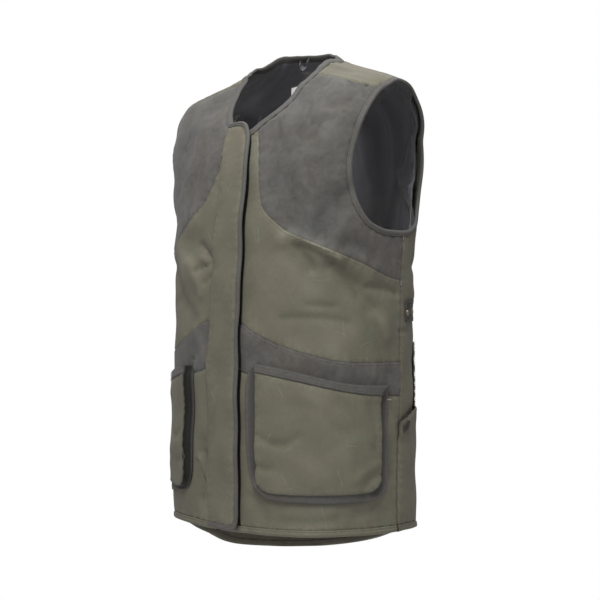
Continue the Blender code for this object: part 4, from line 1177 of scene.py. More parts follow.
class Workroom:
    """Makes meshes for every sub-assembly, dresses them and hangs them on the frame."""

    def __init__(self, figure: Figure) -> None:
        """Starts with no materials and no stitches."""
        self.figure = figure
        self.materials: dict[str, bpy.types.Material] = {}
        self.sewn: list[SewnRow] = []

    def material(self, finish: Any) -> bpy.types.Material:
        """The material of a finish, made once."""
        if finish.name not in self.materials:
            self.materials[finish.name] = finish.material()
        return self.materials[finish.name]

    def mesh_object(
            self, name: str, points: np.ndarray, faces: list[list[int]], finish: Any, flat: np.ndarray,
            marks: dict[str, np.ndarray], sharp: float = 48.0) -> bpy.types.Object:
        """A closed mesh with its cloth coordinates and its attributes.

        Args:
            name: the object's name.
            points: its points.
            faces: its faces, turned outwards if they are not.
            finish: its finish.
            flat: where each point lies on the flat cloth.
            marks: numbers for each point that the finish reads: seam, how far it is from a seam or an edge;
            crest, how high it stands on a fold; shade, how much painted shade darkens it in a fold, a slot or
            on the reverse; and under, how far it lies under the placket, where the finish paints a shadow.
            sharp: the angle from which an edge is sharp, in degrees.

        Returns:
            The object, at the origin.
        """
        volume = 0.0
        for face in faces:
            a = points[face[0]]
            for i in range(1, len(face) - 1):
                b, c = points[face[i]], points[face[i + 1]]
                volume += (
                    a[0] * (b[1] * c[2] - b[2] * c[1]) + a[1] * (b[2] * c[0] - b[0] * c[2])
                    + a[2] * (b[0] * c[1] - b[1] * c[0]))
        if volume < 0:
            faces = [face[::-1] for face in faces]
        mesh = bpy.data.meshes.new(name)
        mesh.from_pydata(points.tolist(), [], faces)
        mesh.update()
        corners = np.empty(len(mesh.loops), dtype=np.int32)
        mesh.loops.foreach_get("vertex_index", corners)
        mesh.uv_layers.new(name="cloth").data.foreach_set("uv", flat[corners].ravel())
        for mark, values in marks.items():
            mesh.attributes.new(mark, "FLOAT", "POINT").data.foreach_set("value", values.astype(np.float32))
        mesh.materials.append(self.material(finish))
        mesh.shade_smooth()
        mesh.set_sharp_from_angle(angle=math.radians(sharp))
        made = bpy.data.objects.new(name, mesh)
        bpy.context.scene.collection.objects.link(made)
        return made

    def panel(
            self, name: str, cut: Cut, out: float, wall: float, finish: Any, lift: Lift | None = None,
            centre: float = 0.0, dip: float = 0.0011, own_folds: Sequence[Fold] = (),
            shade: Lift | None = None) -> Piece:
        """A panel of cloth on the figure.

        Args:
            name: the object's name.
            cut: the cloth.
            out: how far its outer side stands off the figure.
            wall: its thickness.
            finish: its finish.
            lift: a further height that changes over the panel.
            centre: the angle from which its flat cloth is measured.
            dip: how deep its edges are drawn in at the seams.
            own_folds: the folds of a loose inner layer, on top of the shell's.
            shade: how far each place of the outer side lies under another piece, where the finish paints a
                shadow.

        Returns:
            The panel.
        """
        angle, level = cut.places[:, 0], cut.places[:, 1]
        crest = self.figure.relief(angle, level)
        extra = np.full(len(angle), out)
        extra -= dip * np.exp(-(cut.seam / GROOVE) ** 2)
        waves = np.sin(cut.run * PUCKER_PACE + 2.5 * np.sin(cut.run * PUCKER_DRIFT))
        extra += 0.5 * dip * np.exp(-cut.seam / PUCKER_REACH) * waves
        if lift is not None:
            extra += lift(angle, level)
        extra += sum(fold.rise(angle, level) for fold in own_folds)
        normals = self.figure.outward(angle, level)
        outer = self.figure.form(angle, level) + normals * (extra + crest)[:, None]
        count = len(outer)
        flat = self.figure.laid_flat(angle, level, centre)
        faces = cut.faces.tolist()
        faces += (cut.faces[:, ::-1] + count).tolist()
        faces += [[b, a, a + count, b + count] for a, b in cut.rim.tolist()]
        points = np.concatenate([outer, outer - normals * wall])
        # The reverse side takes the finish's painted shade.
        marks = {"seam": np.tile(cut.seam, 2), "crest": np.tile(crest, 2),
                 "shade": np.concatenate([np.zeros(count), np.full(count, finish.reverse)])}
        # The places under the placket get a painted shadow from the finish.
        if shade is not None:
            marks["under"] = np.tile(shade(angle, level), 2)
        body = self.mesh_object(name, points, faces, finish, np.concatenate([flat, flat]), marks)
        corners = flat[cut.faces]
        first, second = corners[:, 1] - corners[:, 0], corners[:, 2] - corners[:, 0]
        area = float(np.abs(first[:, 0] * second[:, 1] - first[:, 1] * second[:, 0]).sum() / 2)
        size = np.ptp(flat, axis=0)
        if area < 0.5 * size.prod():
            size = np.ptp(flat @ np.linalg.eigh(np.cov(flat.T))[1], axis=0)
        return Piece(body, (float(size[0]), float(size[1])), area)

    def sleeve(
            self, name: str, rows: np.ndarray, finish: Any, closed_path: bool, wall: float,
            shades: Any = 0.0, sharp: float = 60.0) -> Piece:
        """A strip of cloth swept through rows of points.

        Args:
            name: the object's name.
            rows: an array of rows of points: path, profile, xyz.
            finish: its finish.
            closed_path: whether the last row joins the first.
            wall: its thickness, under the rows.
            shades: how much painted shade darkens the points, one number, a row of them or one for each
                point.
            sharp: the angle from which an edge is sharp.

        Returns:
            The piece.
        """
        length, width = rows.shape[:2]
        run = run_of(np.linalg.norm(np.diff(rows, axis=0), axis=2).mean(axis=1))
        across = run_of(np.linalg.norm(np.diff(rows, axis=1), axis=2).mean(axis=0))
        if closed_path:
            step_run = np.roll(rows, -1, axis=0) - np.roll(rows, 1, axis=0)
        else:
            step_run = np.gradient(rows, axis=0)
        under = rows + unit(np.cross(step_run, np.gradient(rows, axis=1))) * wall
        edge = np.minimum(across, across[-1] - across)
        rows = np.concatenate([rows, under[:, ::-1]], axis=1)
        across = np.concatenate([across, across[::-1]])
        edge = np.concatenate([edge, edge[::-1]])
        loop = rows.shape[1]
        points = rows.reshape(-1, 3)
        faces = []
        for i in range(length if closed_path else length - 1):
            here, there = i * loop, (i + 1) % length * loop
            for j in range(loop):
                k = (j + 1) % loop
                faces.append([here + j, here + k, there + k, there + j])
        if not closed_path:
            faces.append(list(range(loop - 1, -1, -1)))
            faces.append(list(range((length - 1) * loop, length * loop)))
        flat = np.stack(np.broadcast_arrays(run[:, None], across[None, :]), axis=2).reshape(-1, 2)
        dark = np.broadcast_to(np.array(shades), (length, width))
        marks = {"seam": np.tile(np.maximum(edge, 0.0020), length),
                 "shade": np.concatenate([dark, dark[:, ::-1]], axis=1).ravel()}
        body = self.mesh_object(name, points, faces, finish, flat, marks, sharp)
        perimeter = float(np.linalg.norm(rows - np.roll(rows, 1, axis=1), axis=2).sum(axis=1).mean())
        whole = float(run[-1])
        if closed_path:
            whole += float(np.linalg.norm(rows[0] - rows[-1], axis=1).mean())
        return Piece(body, (perimeter / 2, whole), perimeter / 2 * whole)

    def binding(
            self, name: str, edge: SeamLine, width: float, finish: Any, out: float = 0.0,
            under: float = 0.0036, lift: Lift | None = None, trim: tuple[float, float] = ALL_ROUND,
            step: float = 0.0045) -> Piece:
        """A binding folded round a garment edge, with a groove where it is sewn.

        Args:
            name: the object's name.
            edge: the garment's edge, with the cloth on its left.
            width: how far the binding reaches over the cloth.
            finish: its finish.
            out: how far the cloth's outer side stands off the figure.
            under: how far below that side the binding's back lies.
            lift: a further height that changes along the edge.
            trim: the angles between which it runs.
            step: the spacing of its rows.

        Returns:
            The binding.
        """
        profile = (
            (width + 0.0002, -0.0004), (width - 0.0004, 0.0006), (width - 0.0012, 0.0009),
            (width - 0.0020, 0.0004), (width - 0.0030, 0.0011), (0.55 * width, 0.0015),
            (0.30 * width, 0.0015), (0.0012, 0.0011), (0.0002, 0.0003), (-0.0003, -0.0010),
            (-0.0001, -0.0022), (0.0012, -under), (0.5 * width, -under - 0.0002), (width, -under + 0.0004))
        first = edge.points(self.figure, step)
        keep = (first[:, 0] >= trim[0]) & (first[:, 0] <= trim[1])
        columns = []
        for across, height in profile:
            places = self.figure.inset(first, across, edge.closed)[keep]
            rise = out + height + (lift(places[:, 0], places[:, 1]) if lift else 0.0)
            columns.append(self.figure.place(places[:, 0], places[:, 1], rise))
        # The binding's inner leg takes painted shade, at least 0.35.
        shades = [max(finish.reverse, 0.35) if height < -0.0015 else 0.0 for _, height in profile]
        return self.sleeve(name, np.stack(columns, axis=1), finish, edge.closed, 0.0007, shades, 70.0)

    def sew(
            self, line: SeamLine, out: float, thread: ThreadFinish, stitch: Stitch = TOPSTITCH,
            lift: Lift | None = None, trim: tuple[float, float] = ALL_ROUND, lowest: float = -0.674) -> None:
        """Marks a row of stitches along a line, out metres over the figure."""
        places = line.points(self.figure, 0.004)
        kept = (places[:, 0] >= trim[0]) & (places[:, 0] <= trim[1]) & (places[:, 1] >= lowest)
        places = places[kept]
        angle, level = places[:, 0], places[:, 1]
        rise = out + (lift(angle, level) if lift else 0.0)
        self.sewn.append(SewnRow(
            self.figure.place(angle, level, rise), self.figure.outward(angle, level), line.closed,
            thread, stitch))

    def hang(self, piece: Piece, node: str, finish: Any, held: Held, below: str) -> None:
        """Hangs a sheet of cloth on the frame in place of its solid.

        Args:
            piece: the sheet.
            node: the frame's node that it replaces.
            finish: not used.
            held: how it is held; not used.
            below: the piece that it rests on; not used.
        """
        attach(piece.body, "root")
        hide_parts(node)


@dataclass
class Shell:
    """Fronts, chest patches, waist bands and back, with the game pocket."""

    work: Workroom
    wall: float = 0.0016
    step: float = 0.0039
    beside: float = 0.0024
    neck_binding: float = 0.010
    armhole_binding: float = 0.008
    hem_binding: float = 0.009
    game_out: float = 0.0021
    game_rise: float = 0.0045
    game_ease: float = 0.030
    game_half: float = 57.0
    game_top: float = -0.415
    game_flat: float = -0.556
    game_front: float = 78.0
    game_lap: float = 5.0
    shadow_angle: float = -0.7
    shadow_reach: float = 0.060
    game_over: float = 1.3
    upper: tuple[Row, ...] = ((-40.0, -0.360),)
    lower: tuple[Row, ...] = ((-40.0, -0.600),)
    patch: tuple[Row, ...] = ((-50.0, -0.180),)
    band: tuple[Row, ...] = ((-40.0, -0.455),)
    back: tuple[Row, ...] = ((90.0, -0.200),)
    pouch: tuple[Row, ...] = ((90.0, -0.550),)

    def pattern(self) -> Pattern:
        """The outer cloth's pattern."""
        lines = [
            NECK, NECK.moved(self.neck_binding), HEM, HEM.moved(self.hem_binding), PATCH_LEFT, PATCH_RIGHT]
        for side in Side:
            lines += [seam.on(side) for seam in (
                SIDE_SEAM, YOKE, BAND_TOP, BAND_FOOT, FRONT_EDGE, GAME_POCKET_TOP, GAME_POCKET_SIDE,
                GAME_POCKET_MOUTH, ARMHOLE, ARMHOLE.moved(self.armhole_binding))]
        return Pattern(self.work.figure, lines, self.step, self.beside)

    def pouch_lift(self, angle: np.ndarray, level: np.ndarray) -> np.ndarray:
        """The game pocket stands open along its two side mouths."""
        from_mouth = (np.abs(90.0 - angle) - self.game_half) * DEGREE + 0.5 * self.game_ease
        ease = np.clip(from_mouth / self.game_ease, 0.0, 1.0)
        fade = np.clip((self.game_top - level) / self.game_ease, 0.0, 1.0)
        fade = fade * np.clip((level - self.game_flat) / self.game_ease, 0.0, 1.0)
        return self.game_rise * ease * ease * (3 - 2 * ease) * fade

    def under_placket(self, angle: np.ndarray, level: np.ndarray) -> np.ndarray:
        """How far each place lies under the placket's free edge, where the finish paints a shadow, at most
        shadow_reach.
        """
        rows = np.array(PLACKET_FREE.rows[5:-3])
        edge = np.interp(level, rows[:, 1], rows[:, 0]) + self.shadow_angle
        return np.clip((edge - angle) * DEGREE + 0.5 * self.shadow_reach, 0.0, self.shadow_reach)

    def make(self, pattern: Pattern) -> None:
        """Cuts and hangs every panel of the shell."""
        work = self.work
        for stem, seeds, finish in (
                ("front_upper_", self.upper, WAXED), ("front_lower_", self.lower, WAXED),
                ("chest_patch_", self.patch, BRUSHED), ("waist_band_", self.band, BRUSHED)):
            for side in Side:
                name = stem + side.value
                # The left fronts get a painted shadow under the placket's free edge.
                shade = self.under_placket if side is Side.LEFT else None
                piece = work.panel(
                    name + "_cloth", pattern.cut(side.turn(seeds)), 0.0, self.wall, finish,
                    centre=side.angle(FRONT_MIDDLE), shade=shade)
                work.hang(piece, name, finish, Held.HUNG, "lining_front_" + side.value + "_cloth")
        cut = pattern.cut(self.back + self.pouch)
        piece = work.panel("back_cloth", cut, 0.0, self.wall, WAXED, centre=90.0)
        work.hang(piece, "back", WAXED, Held.HUNG, "lining_back_cloth")
        cut = pattern.cut(self.pouch)
        from_back = cut.places[:, 0] - 90.0
        over = self.game_over * np.clip((np.abs(from_back) - self.game_front) / self.game_lap, 0.0, 1.0)
        cut.places[:, 0] = 90.0 + from_back + np.sign(from_back) * over
        piece = work.panel(
            "game_pocket_cloth", cut, self.game_out + 0.0003, self.wall, WAXED, self.pouch_lift, 90.0, 0.0014)
        work.hang(piece, "game_pocket", WAXED, Held.HUNG, "back_cloth")
        self._sew()

    def _sew(self) -> None:
        """Topstitching along the seams of the shell."""
        work = self.work
        over = 0.0002
        work.sew(PATCH_LEFT.moved(-0.0032), over, GREY_THREAD)
        work.sew(PATCH_RIGHT.moved(-0.0032), over, GREY_THREAD)
        for side in Side:
            for seam, distance, thread in (
                    (YOKE, 0.0030, GREEN_THREAD), (BAND_TOP, -0.0030, GREY_THREAD),
                    (BAND_FOOT, 0.0030, GREY_THREAD), (SIDE_SEAM, 0.0030, GREEN_THREAD)):
                work.sew(seam.beside(side, distance), over, thread)
            for seam, distance in (
                    (GAME_POCKET_TOP, 0.0030), (GAME_POCKET_TOP, 0.0090), (GAME_POCKET_SIDE, 0.0030),
                    (GAME_POCKET_MOUTH, 0.0030)):
                work.sew(
                    seam.beside(side, distance), self.game_out + 0.0006, GREEN_THREAD, lift=self.pouch_lift)
            for rows in (((8.6, -0.327), (8.6, -0.333)), ((7.6, -0.262), (7.6, -0.268))):
                work.sew(SeamLine(side.turn(rows), smooth=False), over, PALE_THREAD, BARTACK)


@dataclass
class Edges:
    """The bindings of the neck, the armholes and the three hems."""

    work: Workroom
    shell: Shell
    hem_under: float = 0.0026
    lining_room: float = 0.0012
    hem_lap: float = 0.0004
    short: float = 0.1
    meet: float = 1.7
    sewn_in: float = 0.0020
    thread_out: float = 0.0010

    def make(self) -> None:
        """Folds a binding round every edge."""
        work, shell = self.work, self.shell
        piece = work.binding("neck_edge", NECK, shell.neck_binding, BINDING, trim=(-89.0, 269.0))
        work.hang(piece, "neck_binding", BINDING, Held.FOLDED, "back_cloth")
        work.sew(
            NECK.moved(shell.neck_binding - self.sewn_in), self.thread_out, GREY_THREAD, trim=(-68.0, 248.0))
        for side in Side:
            edge = ARMHOLE.on(side)
            piece = work.binding("armhole_edge_" + side.value, edge, shell.armhole_binding, BINDING)
            work.hang(piece, "armhole_binding_" + side.value, BINDING, Held.FOLDED, "back_cloth")
            work.sew(edge.moved(shell.armhole_binding - self.sewn_in), self.thread_out, GREY_THREAD)
        seams = [side.angle(SIDE_SEAM.rows[-1][0]) for side in Side]
        for name, trim, out in (
                ("front_left", (-88.7, seams[0] - self.short), 0.0),
                # One row past each side seam, where the front's binding ends, so that no notch is left.
                ("back", (seams[0] - self.meet, seams[1] + self.meet), shell.game_out + self.hem_lap),
                ("front_right", (seams[1] + self.short, 268.7), 0.0)):
            piece = work.binding(
                "hem_edge_" + name, HEM, shell.hem_binding, WAXED, out=out,
                under=self.hem_under + out + self.lining_room, trim=trim)
            work.hang(piece, "hem_binding_" + name, WAXED, Held.FOLDED, "back_cloth")
            work.sew(
                HEM.moved(shell.hem_binding - self.sewn_in), self.thread_out + out, GREEN_THREAD, trim=trim,
                lowest=-0.8)


@dataclass
class Inside:
    """The lining, the hanging loop and the blank label."""

    work: Workroom
    shell: Shell
    out: float = -0.0026
    wall: float = 0.0008
    step: float = 0.0060
    loop_angles: tuple[float, float] = (98.0, 110.0)
    loop_level: float = 0.052
    loop_drop: float = 0.013
    loop_reach: float = 0.006
    loop_width: float = 0.0094

    def make(self) -> None:
        """Hangs the lining with its folds, then the label and the loop on it."""
        work = self.work
        lines = [NECK, NECK.moved(self.shell.neck_binding - 0.0006), HEM, LINING_FOOT, NECK_LABEL]
        for side in Side:
            lines += [seam.on(side) for seam in (SIDE_SEAM, FRONT_EDGE, YOKE, ARMHOLE)]
            lines.append(ARMHOLE.on(side).moved(self.shell.armhole_binding - 0.0006))
        pattern = Pattern(work.figure, lines, self.step, 0.0030)
        label = (104.0, -0.018)
        for name, seeds, centre in (
                ("lining_front_left", self.shell.upper, FRONT_MIDDLE),
                ("lining_front_right", Side.RIGHT.turn(self.shell.upper), Side.RIGHT.angle(FRONT_MIDDLE)),
                ("lining_back", (*self.shell.back, label), 90.0)):
            piece = work.panel(
                name + "_cloth", pattern.cut(seeds), self.out, self.wall, LINING, centre=centre, dip=0.0,
                own_folds=LINING_FOLDS)
            work.hang(piece, name, LINING, Held.HUNG, "back_cloth")
        piece = work.panel(
            "blank_label", pattern.cut([label]), self.out - self.wall - 0.0005, 0.0006, LABEL, centre=104.0,
            dip=0.0, own_folds=LINING_FOLDS)
        work.hang(piece, "neck_label", LABEL, Held.STRETCHED, "lining_back_cloth")
        self._make_loop()

    def _make_loop(self, parts: int = 28, across: int = 5) -> None:
        """The loop is a narrow tape whose ends are caught under the neck binding."""
        start, end = self.loop_angles
        t = np.linspace(0.0, 1.0, parts)
        sag = np.sin(np.pi * t)
        angle = start + (end - start) * (0.5 - 0.5 * np.cos(np.pi * t))
        level = self.loop_level - self.loop_drop * sag
        top = self.work.figure.place(angle, level, -0.0040)
        inward = -self.work.figure.outward(angle, np.full_like(angle, self.loop_level))
        top = top + inward * (self.loop_reach * sag)[:, None]
        rows = np.stack([
            top + inward * (self.loop_width * j / (across - 1) - 0.001) for j in range(across)], axis=1)
        piece = self.work.sleeve("loop_tape", rows, LINING, False, 0.0009)
        self.work.hang(piece, "hanging_loop", LINING, Held.STRETCHED, "lining_back_cloth")


@dataclass
class Placket:
    """The flap over the zip, its bound edge and the zip itself."""

    work: Workroom
    out: float = 0.0032
    rise: float = 0.0080
    sewn_angle: float = -98.0
    free_angle: float = -77.3
    binding: float = 0.0070
    wall: float = 0.0016
    step: float = 0.0040

    def lift(self, angle: np.ndarray, level: np.ndarray) -> np.ndarray:
        """The placket is sewn down on the wearer's right and stands off at its free edge."""
        across = np.clip((angle - self.sewn_angle) / (self.free_angle - self.sewn_angle), 0.0, 1.0)
        wave = 0.0005 * np.sin(level * 23.0 + 0.8) + 0.0004 * np.sin(level * 51.0)
        sewn_down = np.clip((angle - self.sewn_angle + 0.7) * 0.9, 0.0, 1.0)
        return self.rise * across ** 1.4 + wave * across - 0.0016 * (1 - sewn_down)

    def make(self) -> None:
        """Hangs the flap with its binding, and the zip below it."""
        work = self.work
        foot = SeamLine((PLACKET_SEWN.rows[0], PLACKET_FREE.rows[0]), smooth=False)
        lines = [PLACKET_SEWN, foot, PLACKET_FREE, PLACKET_FREE.moved(self.binding)]
        pattern = Pattern(work.figure, lines, self.step, 0.0022)
        piece = work.panel(
            "placket_cloth", pattern.cut([(-88.0, -0.400)]), self.out, self.wall, WAXED, self.lift, -88.0)
        work.hang(piece, "placket", WAXED, Held.STRETCHED, "front_upper_right_cloth")
        piece = work.binding(
            "placket_edge", PLACKET_BOUND, self.binding, BINDING, out=self.out, under=0.0019, lift=self.lift,
            step=0.0035)
        work.hang(piece, "placket_binding", BINDING, Held.FOLDED, "placket_cloth")
        work.sew(
            PLACKET_BOUND.moved(self.binding - 0.0020), self.out + 0.0010, GREY_THREAD, lift=self.lift)
        for distance in (-0.0024, -0.0080):
            work.sew(
                PLACKET_SEWN.moved(distance), self.out + 0.0002, GREEN_THREAD, lift=self.lift,
                trim=(-98.6, -70.0))
        pattern = Pattern(work.figure, [ZIP], 0.0030)
        piece = work.panel(
            "zip_strip", pattern.cut([(-90.0, -0.400)]), 0.0, 0.0014, TAPE, centre=-90.0, dip=0.0)
        work.hang(piece, "front_zip", TAPE, Held.STRETCHED, "placket_cloth")
        middle = SeamLine(((-90.0, -0.677), (-90.0, -0.400), (-90.0, -0.106)), smooth=False)
        work.sew(middle, 0.0003, ZIP_COIL, COIL)
        work.sew(middle, -0.0017, ZIP_COIL, COIL)


@dataclass
class Pocket:
    """A bellows pocket: its face, its bound top edge and the gusset round three sides."""

    work: Workroom
    side: Side
    wall: float = 0.0016
    depth: float = 0.0085
    lean: float = 0.0025
    bulge: float = 0.0012
    drop: float = 0.0
    flange: float = 1.0
    # Painted shade added where the gusset lies flat, for the dark slot on the right pocket's centre side.
    shaded: float = 0.0
    middle: float = -40.0
    half_angle: float = 30.0
    centre: float = -0.560
    half_level: float = 0.080
    step: float = 0.0045
    face_seed: tuple[Row, ...] = ((-40.0, -0.560),)
    edge_seed: tuple[Row, ...] = ((-40.0, -0.472),)
    # Columns: share of the way from the face's edge to the base, height where the gusset stands high, height
    # where it lies flat, bulge, and the painted shade in its groove where it stands high and where it lies
    # flat.
    gusset_profile: tuple[tuple[float, ...], ...] = (
        (0.00, 1.00, 1.00, -0.0004, 0.3, 0.4), (0.02, 0.90, 0.80, -0.0006, 0.6, 0.8),
        (0.06, 0.80, 0.50, -0.0006, 0.6, 0.8), (0.13, 0.76, 0.26, 0.0000, 0.1, 0.7),
        (0.26, 0.74, 0.13, 0.0006, 0.0, 0.5), (0.40, 0.72, 0.11, 0.0010, 0.0, 0.4),
        (0.56, 0.68, 0.14, 0.0014, 0.0, 0.3), (0.72, 0.56, 0.15, 0.0016, 0.0, 0.0),
        (0.85, 0.34, 0.13, 0.0014, 0.3, 0.0), (0.95, 0.10, 0.08, 0.0006, 0.9, 0.1),
        (1.00, 0.01, 0.01, 0.0000, 1.0, 0.3))
    face_folds: tuple[Fold, ...] = folds(
        (-67.0, -0.5425, -51.0, -0.5425, 0.005, -0.003, -0.012, 1.4),
        (-70.0, -0.578, -62.0, -0.588, 0.0048, -0.0028, -0.004, 1.4),
        (-60.0, -0.57, -42.0, -0.6, 0.012, 0.002, 0.006),
        (-34.0, -0.5, -22.0, -0.556, 0.011, -0.0022, 0.006, 1.6),
        (-25.5, -0.602, -14.0, -0.583, 0.007, 0.0026, 0.002, 1.4),
        (-20.0, -0.612, -12.0, -0.596, 0.006, -0.0022, 0.002, 1.4),
        (-52.0, -0.485, -30.0, -0.52, 0.011, 0.0018, 0.006),
        (-17.0, -0.5, -14.0, -0.56, 0.007, -0.002, 0.002, 1.5))

    def seam(self, line: SeamLine) -> SeamLine:
        """One of the pocket's lines, at this pocket's own level."""
        rows = tuple((angle, level - self.drop) for angle, level in line.rows)
        return SeamLine(rows, line.closed, line.smooth)

    def lift(self, angle: np.ndarray, level: np.ndarray) -> np.ndarray:
        """How far the pocket's face stands off the front, more towards the placket."""
        across = (np.abs(turned(90.0 + angle)) - 90.0 - self.middle) / self.half_angle
        up = (level - self.centre) / self.half_level
        lean = self.lean * np.minimum(across, 0.0) ** 2
        return self.depth + lean + self.bulge * np.exp(-across ** 2 - up ** 2)

    def face_lift(self, angle: np.ndarray, level: np.ndarray) -> np.ndarray:
        """The face's height, with its own creases."""
        return self.lift(angle, level) + sum(fold.rise(angle, level) for fold in self.face_folds)

    def make(self) -> None:
        """Hangs the pocket's three pieces."""
        work, side = self.work, self.side
        end = "_" + side.value
        lines = [self.seam(line).on(side) for line in (FACE_EDGE, POCKET_TOP, POCKET_BINDING_FOOT)]
        pattern = Pattern(work.figure, lines, self.step, 0.0022)
        lift = side.lift(self.face_lift)
        centre = side.angle(self.middle)
        cut = pattern.cut(side.turn(self.face_seed))
        piece = work.panel("pocket_face" + end + "_cloth", cut, 0.0, self.wall, WAXED, lift, centre)
        work.hang(piece, "pocket_face" + end, WAXED, Held.STRETCHED, "pocket_gusset" + end + "_cloth")
        cut = pattern.cut(side.turn(self.edge_seed))
        piece = work.panel("pocket_edge" + end, cut, 0.0007, 0.0028, BINDING, lift, centre, dip=0.0007)
        work.hang(piece, "pocket_binding" + end, BINDING, Held.FOLDED, "pocket_face" + end + "_cloth")
        self._make_gusset()
        for seam, distance, thread, out in (
                (FACE_EDGE, 0.0030, GREEN_THREAD, 0.0002),
                (POCKET_BINDING_FOOT, -0.0020, GREY_THREAD, 0.0012),
                (POCKET_TOP, 0.0024, GREY_THREAD, 0.0012)):
            work.sew(self.seam(seam).beside(side, distance), out, thread, lift=lift)
        tack = SeamLine(side.turn(((-6.2, -0.4935), (-3.4, -0.4935))), smooth=False)
        work.sew(tack, 0.0062, PALE_THREAD, BARTACK)

    def _make_gusset(self) -> None:
        """The gusset folds in once between the face's edge and the front."""
        work, side = self.work, self.side
        figure = work.figure
        face = self.seam(FACE_EDGE).points(figure, self.step)
        base = self._even_base()
        beside = np.clip((-45.0 - face[:, 0]) / 15.0, 0.0, 1.0)[:, None]
        base = face + (base - face) * (1 - (1 - self.flange) * beside)
        top = self.lift(face[:, 0], face[:, 1]) - self.wall - 0.0003
        wide = np.linalg.norm(figure.form(*face.T) - figure.form(*base.T), axis=1)
        low = np.clip((wide - 0.0125) / 0.004, 0.0, 1.0)
        if side is Side.RIGHT:
            low = np.maximum(low, beside[:, 0])
        flip = np.array([[-1.0, 1.0]]) if side is Side.RIGHT else np.ones((1, 2))
        shift = np.array([[180.0, 0.0]]) if side is Side.RIGHT else np.zeros((1, 2))
        middle = np.array([[self.middle, self.centre - self.drop]]) * flip + shift
        centre = figure.place(middle[:, 0], middle[:, 1])
        columns, shades = [], []
        for across, high, flat, bulge, shade, flat_shade in self.gusset_profile:
            places = (face * (1 - across) + base * across) * flip + shift
            height = high * (1 - low) + flat * low
            point = figure.place(places[:, 0], places[:, 1], 0.0011 + (top - 0.0011) * height)
            columns.append(point + unit(point - centre) * bulge)
            # Painted shade in the gusset's groove and slot.
            shades.append(shade * (1 - low) + min(flat_shade + self.shaded, 1.0) * low)
        rows, dark = np.stack(columns, axis=1), np.stack(shades, axis=1)
        if side is Side.RIGHT:
            rows, dark = rows[::-1], dark[::-1]
        piece = work.sleeve("pocket_gusset_" + side.value + "_cloth", rows, BINDING, False, 0.0011, dark)
        work.hang(
            piece, "pocket_gusset_" + side.value, WAXED, Held.FOLDED, "front_lower_" + side.value + "_cloth")

    def _even_base(self) -> np.ndarray:
        """The base line's places, one for each place of the face's edge."""
        figure = self.work.figure
        rows, ends = np.array(self.seam(BASE_EDGE).rows), np.array(self.seam(FACE_EDGE).rows)
        marks = figure.form(ends[:, 0], ends[:, 1])
        shares = []
        for i in range(len(ends) - 1):
            pieces = max(1, round(float(np.linalg.norm(marks[i + 1] - marks[i])) / self.step))
            shares += [i + k / pieces for k in range(pieces)]
        shares.append(len(ends) - 1)
        at = np.array(shares)
        numbers = np.arange(len(rows))
        return np.stack([np.interp(at, numbers, rows[:, 0]), np.interp(at, numbers, rows[:, 1])], axis=1)


@dataclass
class Leather:
    """The waist adjusters with their studs, and the patches at the game pocket's mouths."""

    work: Workroom
    shell: Shell
    out: float = 0.0020
    wall: float = 0.0016
    stud_places: tuple[Row, ...] = ((16.5, -0.372), (27.0, -0.371))
    stud_radius: float = 0.0045
    stud_height: float = 0.0020
    stud_rings: int = 6
    stud_facets: int = 32

    def make(self) -> None:
        """Hangs tabs, patches and studs on both sides."""
        work = self.work
        for side in Side:
            outline = ADJUSTER.on(side)
            pattern = Pattern(work.figure, [outline], 0.0030)
            piece = work.panel(
                "adjuster_tab_" + side.value, pattern.cut(side.turn(((22.0, -0.369),))), self.out, self.wall,
                LEATHER, centre=side.angle(22.0), dip=0.0)
            work.hang(piece, "waist_adjuster_" + side.value, LEATHER, Held.STRETCHED, "back_cloth")
            work.sew(outline.moved(0.0022), self.out + 0.0001, GREY_THREAD)
            pattern = Pattern(work.figure, [MOUTH_PATCH.on(side)], 0.0025)
            lift = self.shell.pouch_lift
            piece = work.panel(
                "mouth_patch_" + side.value, pattern.cut(side.turn(((10.8, -0.533),))),
                self.shell.game_out + self.out + 0.0004, self.wall, LEATHER, lift,
                side.angle(10.8), dip=0.0)
            work.hang(
                piece, "pocket_mouth_patch_" + side.value, LEATHER, Held.STRETCHED, "game_pocket_cloth")
            for number, place in enumerate(side.turn(self.stud_places), 1):
                self._make_stud("stud_{}_{}".format(side.value, number), place)

    def _make_stud(self, name: str, place: Row) -> None:
        """A domed stud with a rolled rim, turned about its own axis."""
        figure = self.work.figure
        angle, level = np.array([place[0]]), np.array([place[1]])
        up = figure.outward(angle, level)[0]
        foot = figure.place(angle, level, self.out + 0.0001)[0]
        side_way = unit(np.cross(up, (0.0, 0.0, 1.0)))
        other_way = np.cross(up, side_way)
        rings = [
            (self.stud_radius, 0.0), (self.stud_radius * 1.02, 0.35), (self.stud_radius * 0.94, 0.62),
            (self.stud_radius * 0.84, 0.52)]
        for i in range(self.stud_rings):
            turn = (i + 1) / (self.stud_rings + 1) * math.pi / 2
            rings.append((self.stud_radius * 0.80 * math.cos(turn), 0.52 + 0.48 * math.sin(turn)))
        points, faces = [], []
        for radius, height in rings:
            for k in range(self.stud_facets):
                turn = 2 * math.pi * k / self.stud_facets
                points.append(
                    foot + (side_way * math.cos(turn) + other_way * math.sin(turn)) * radius
                    + up * (height * self.stud_height))
        count = self.stud_facets
        for i in range(len(rings) - 1):
            for k in range(count):
                after = (k + 1) % count
                faces.append([i * count + k, i * count + after, (i + 1) * count + after, (i + 1) * count + k])
        faces.append(list(range(count - 1, -1, -1)))
        last = (len(rings) - 1) * count
        points.append(foot + up * self.stud_height)
        faces += [[last + k, last + (k + 1) % count, len(points) - 1] for k in range(count)]
        spread = np.zeros((len(points), 2))
        body = self.work.mesh_object(name, np.array(points), faces, BRASS, spread, {})
        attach(body, "root")
        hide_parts("adjuster_" + name)


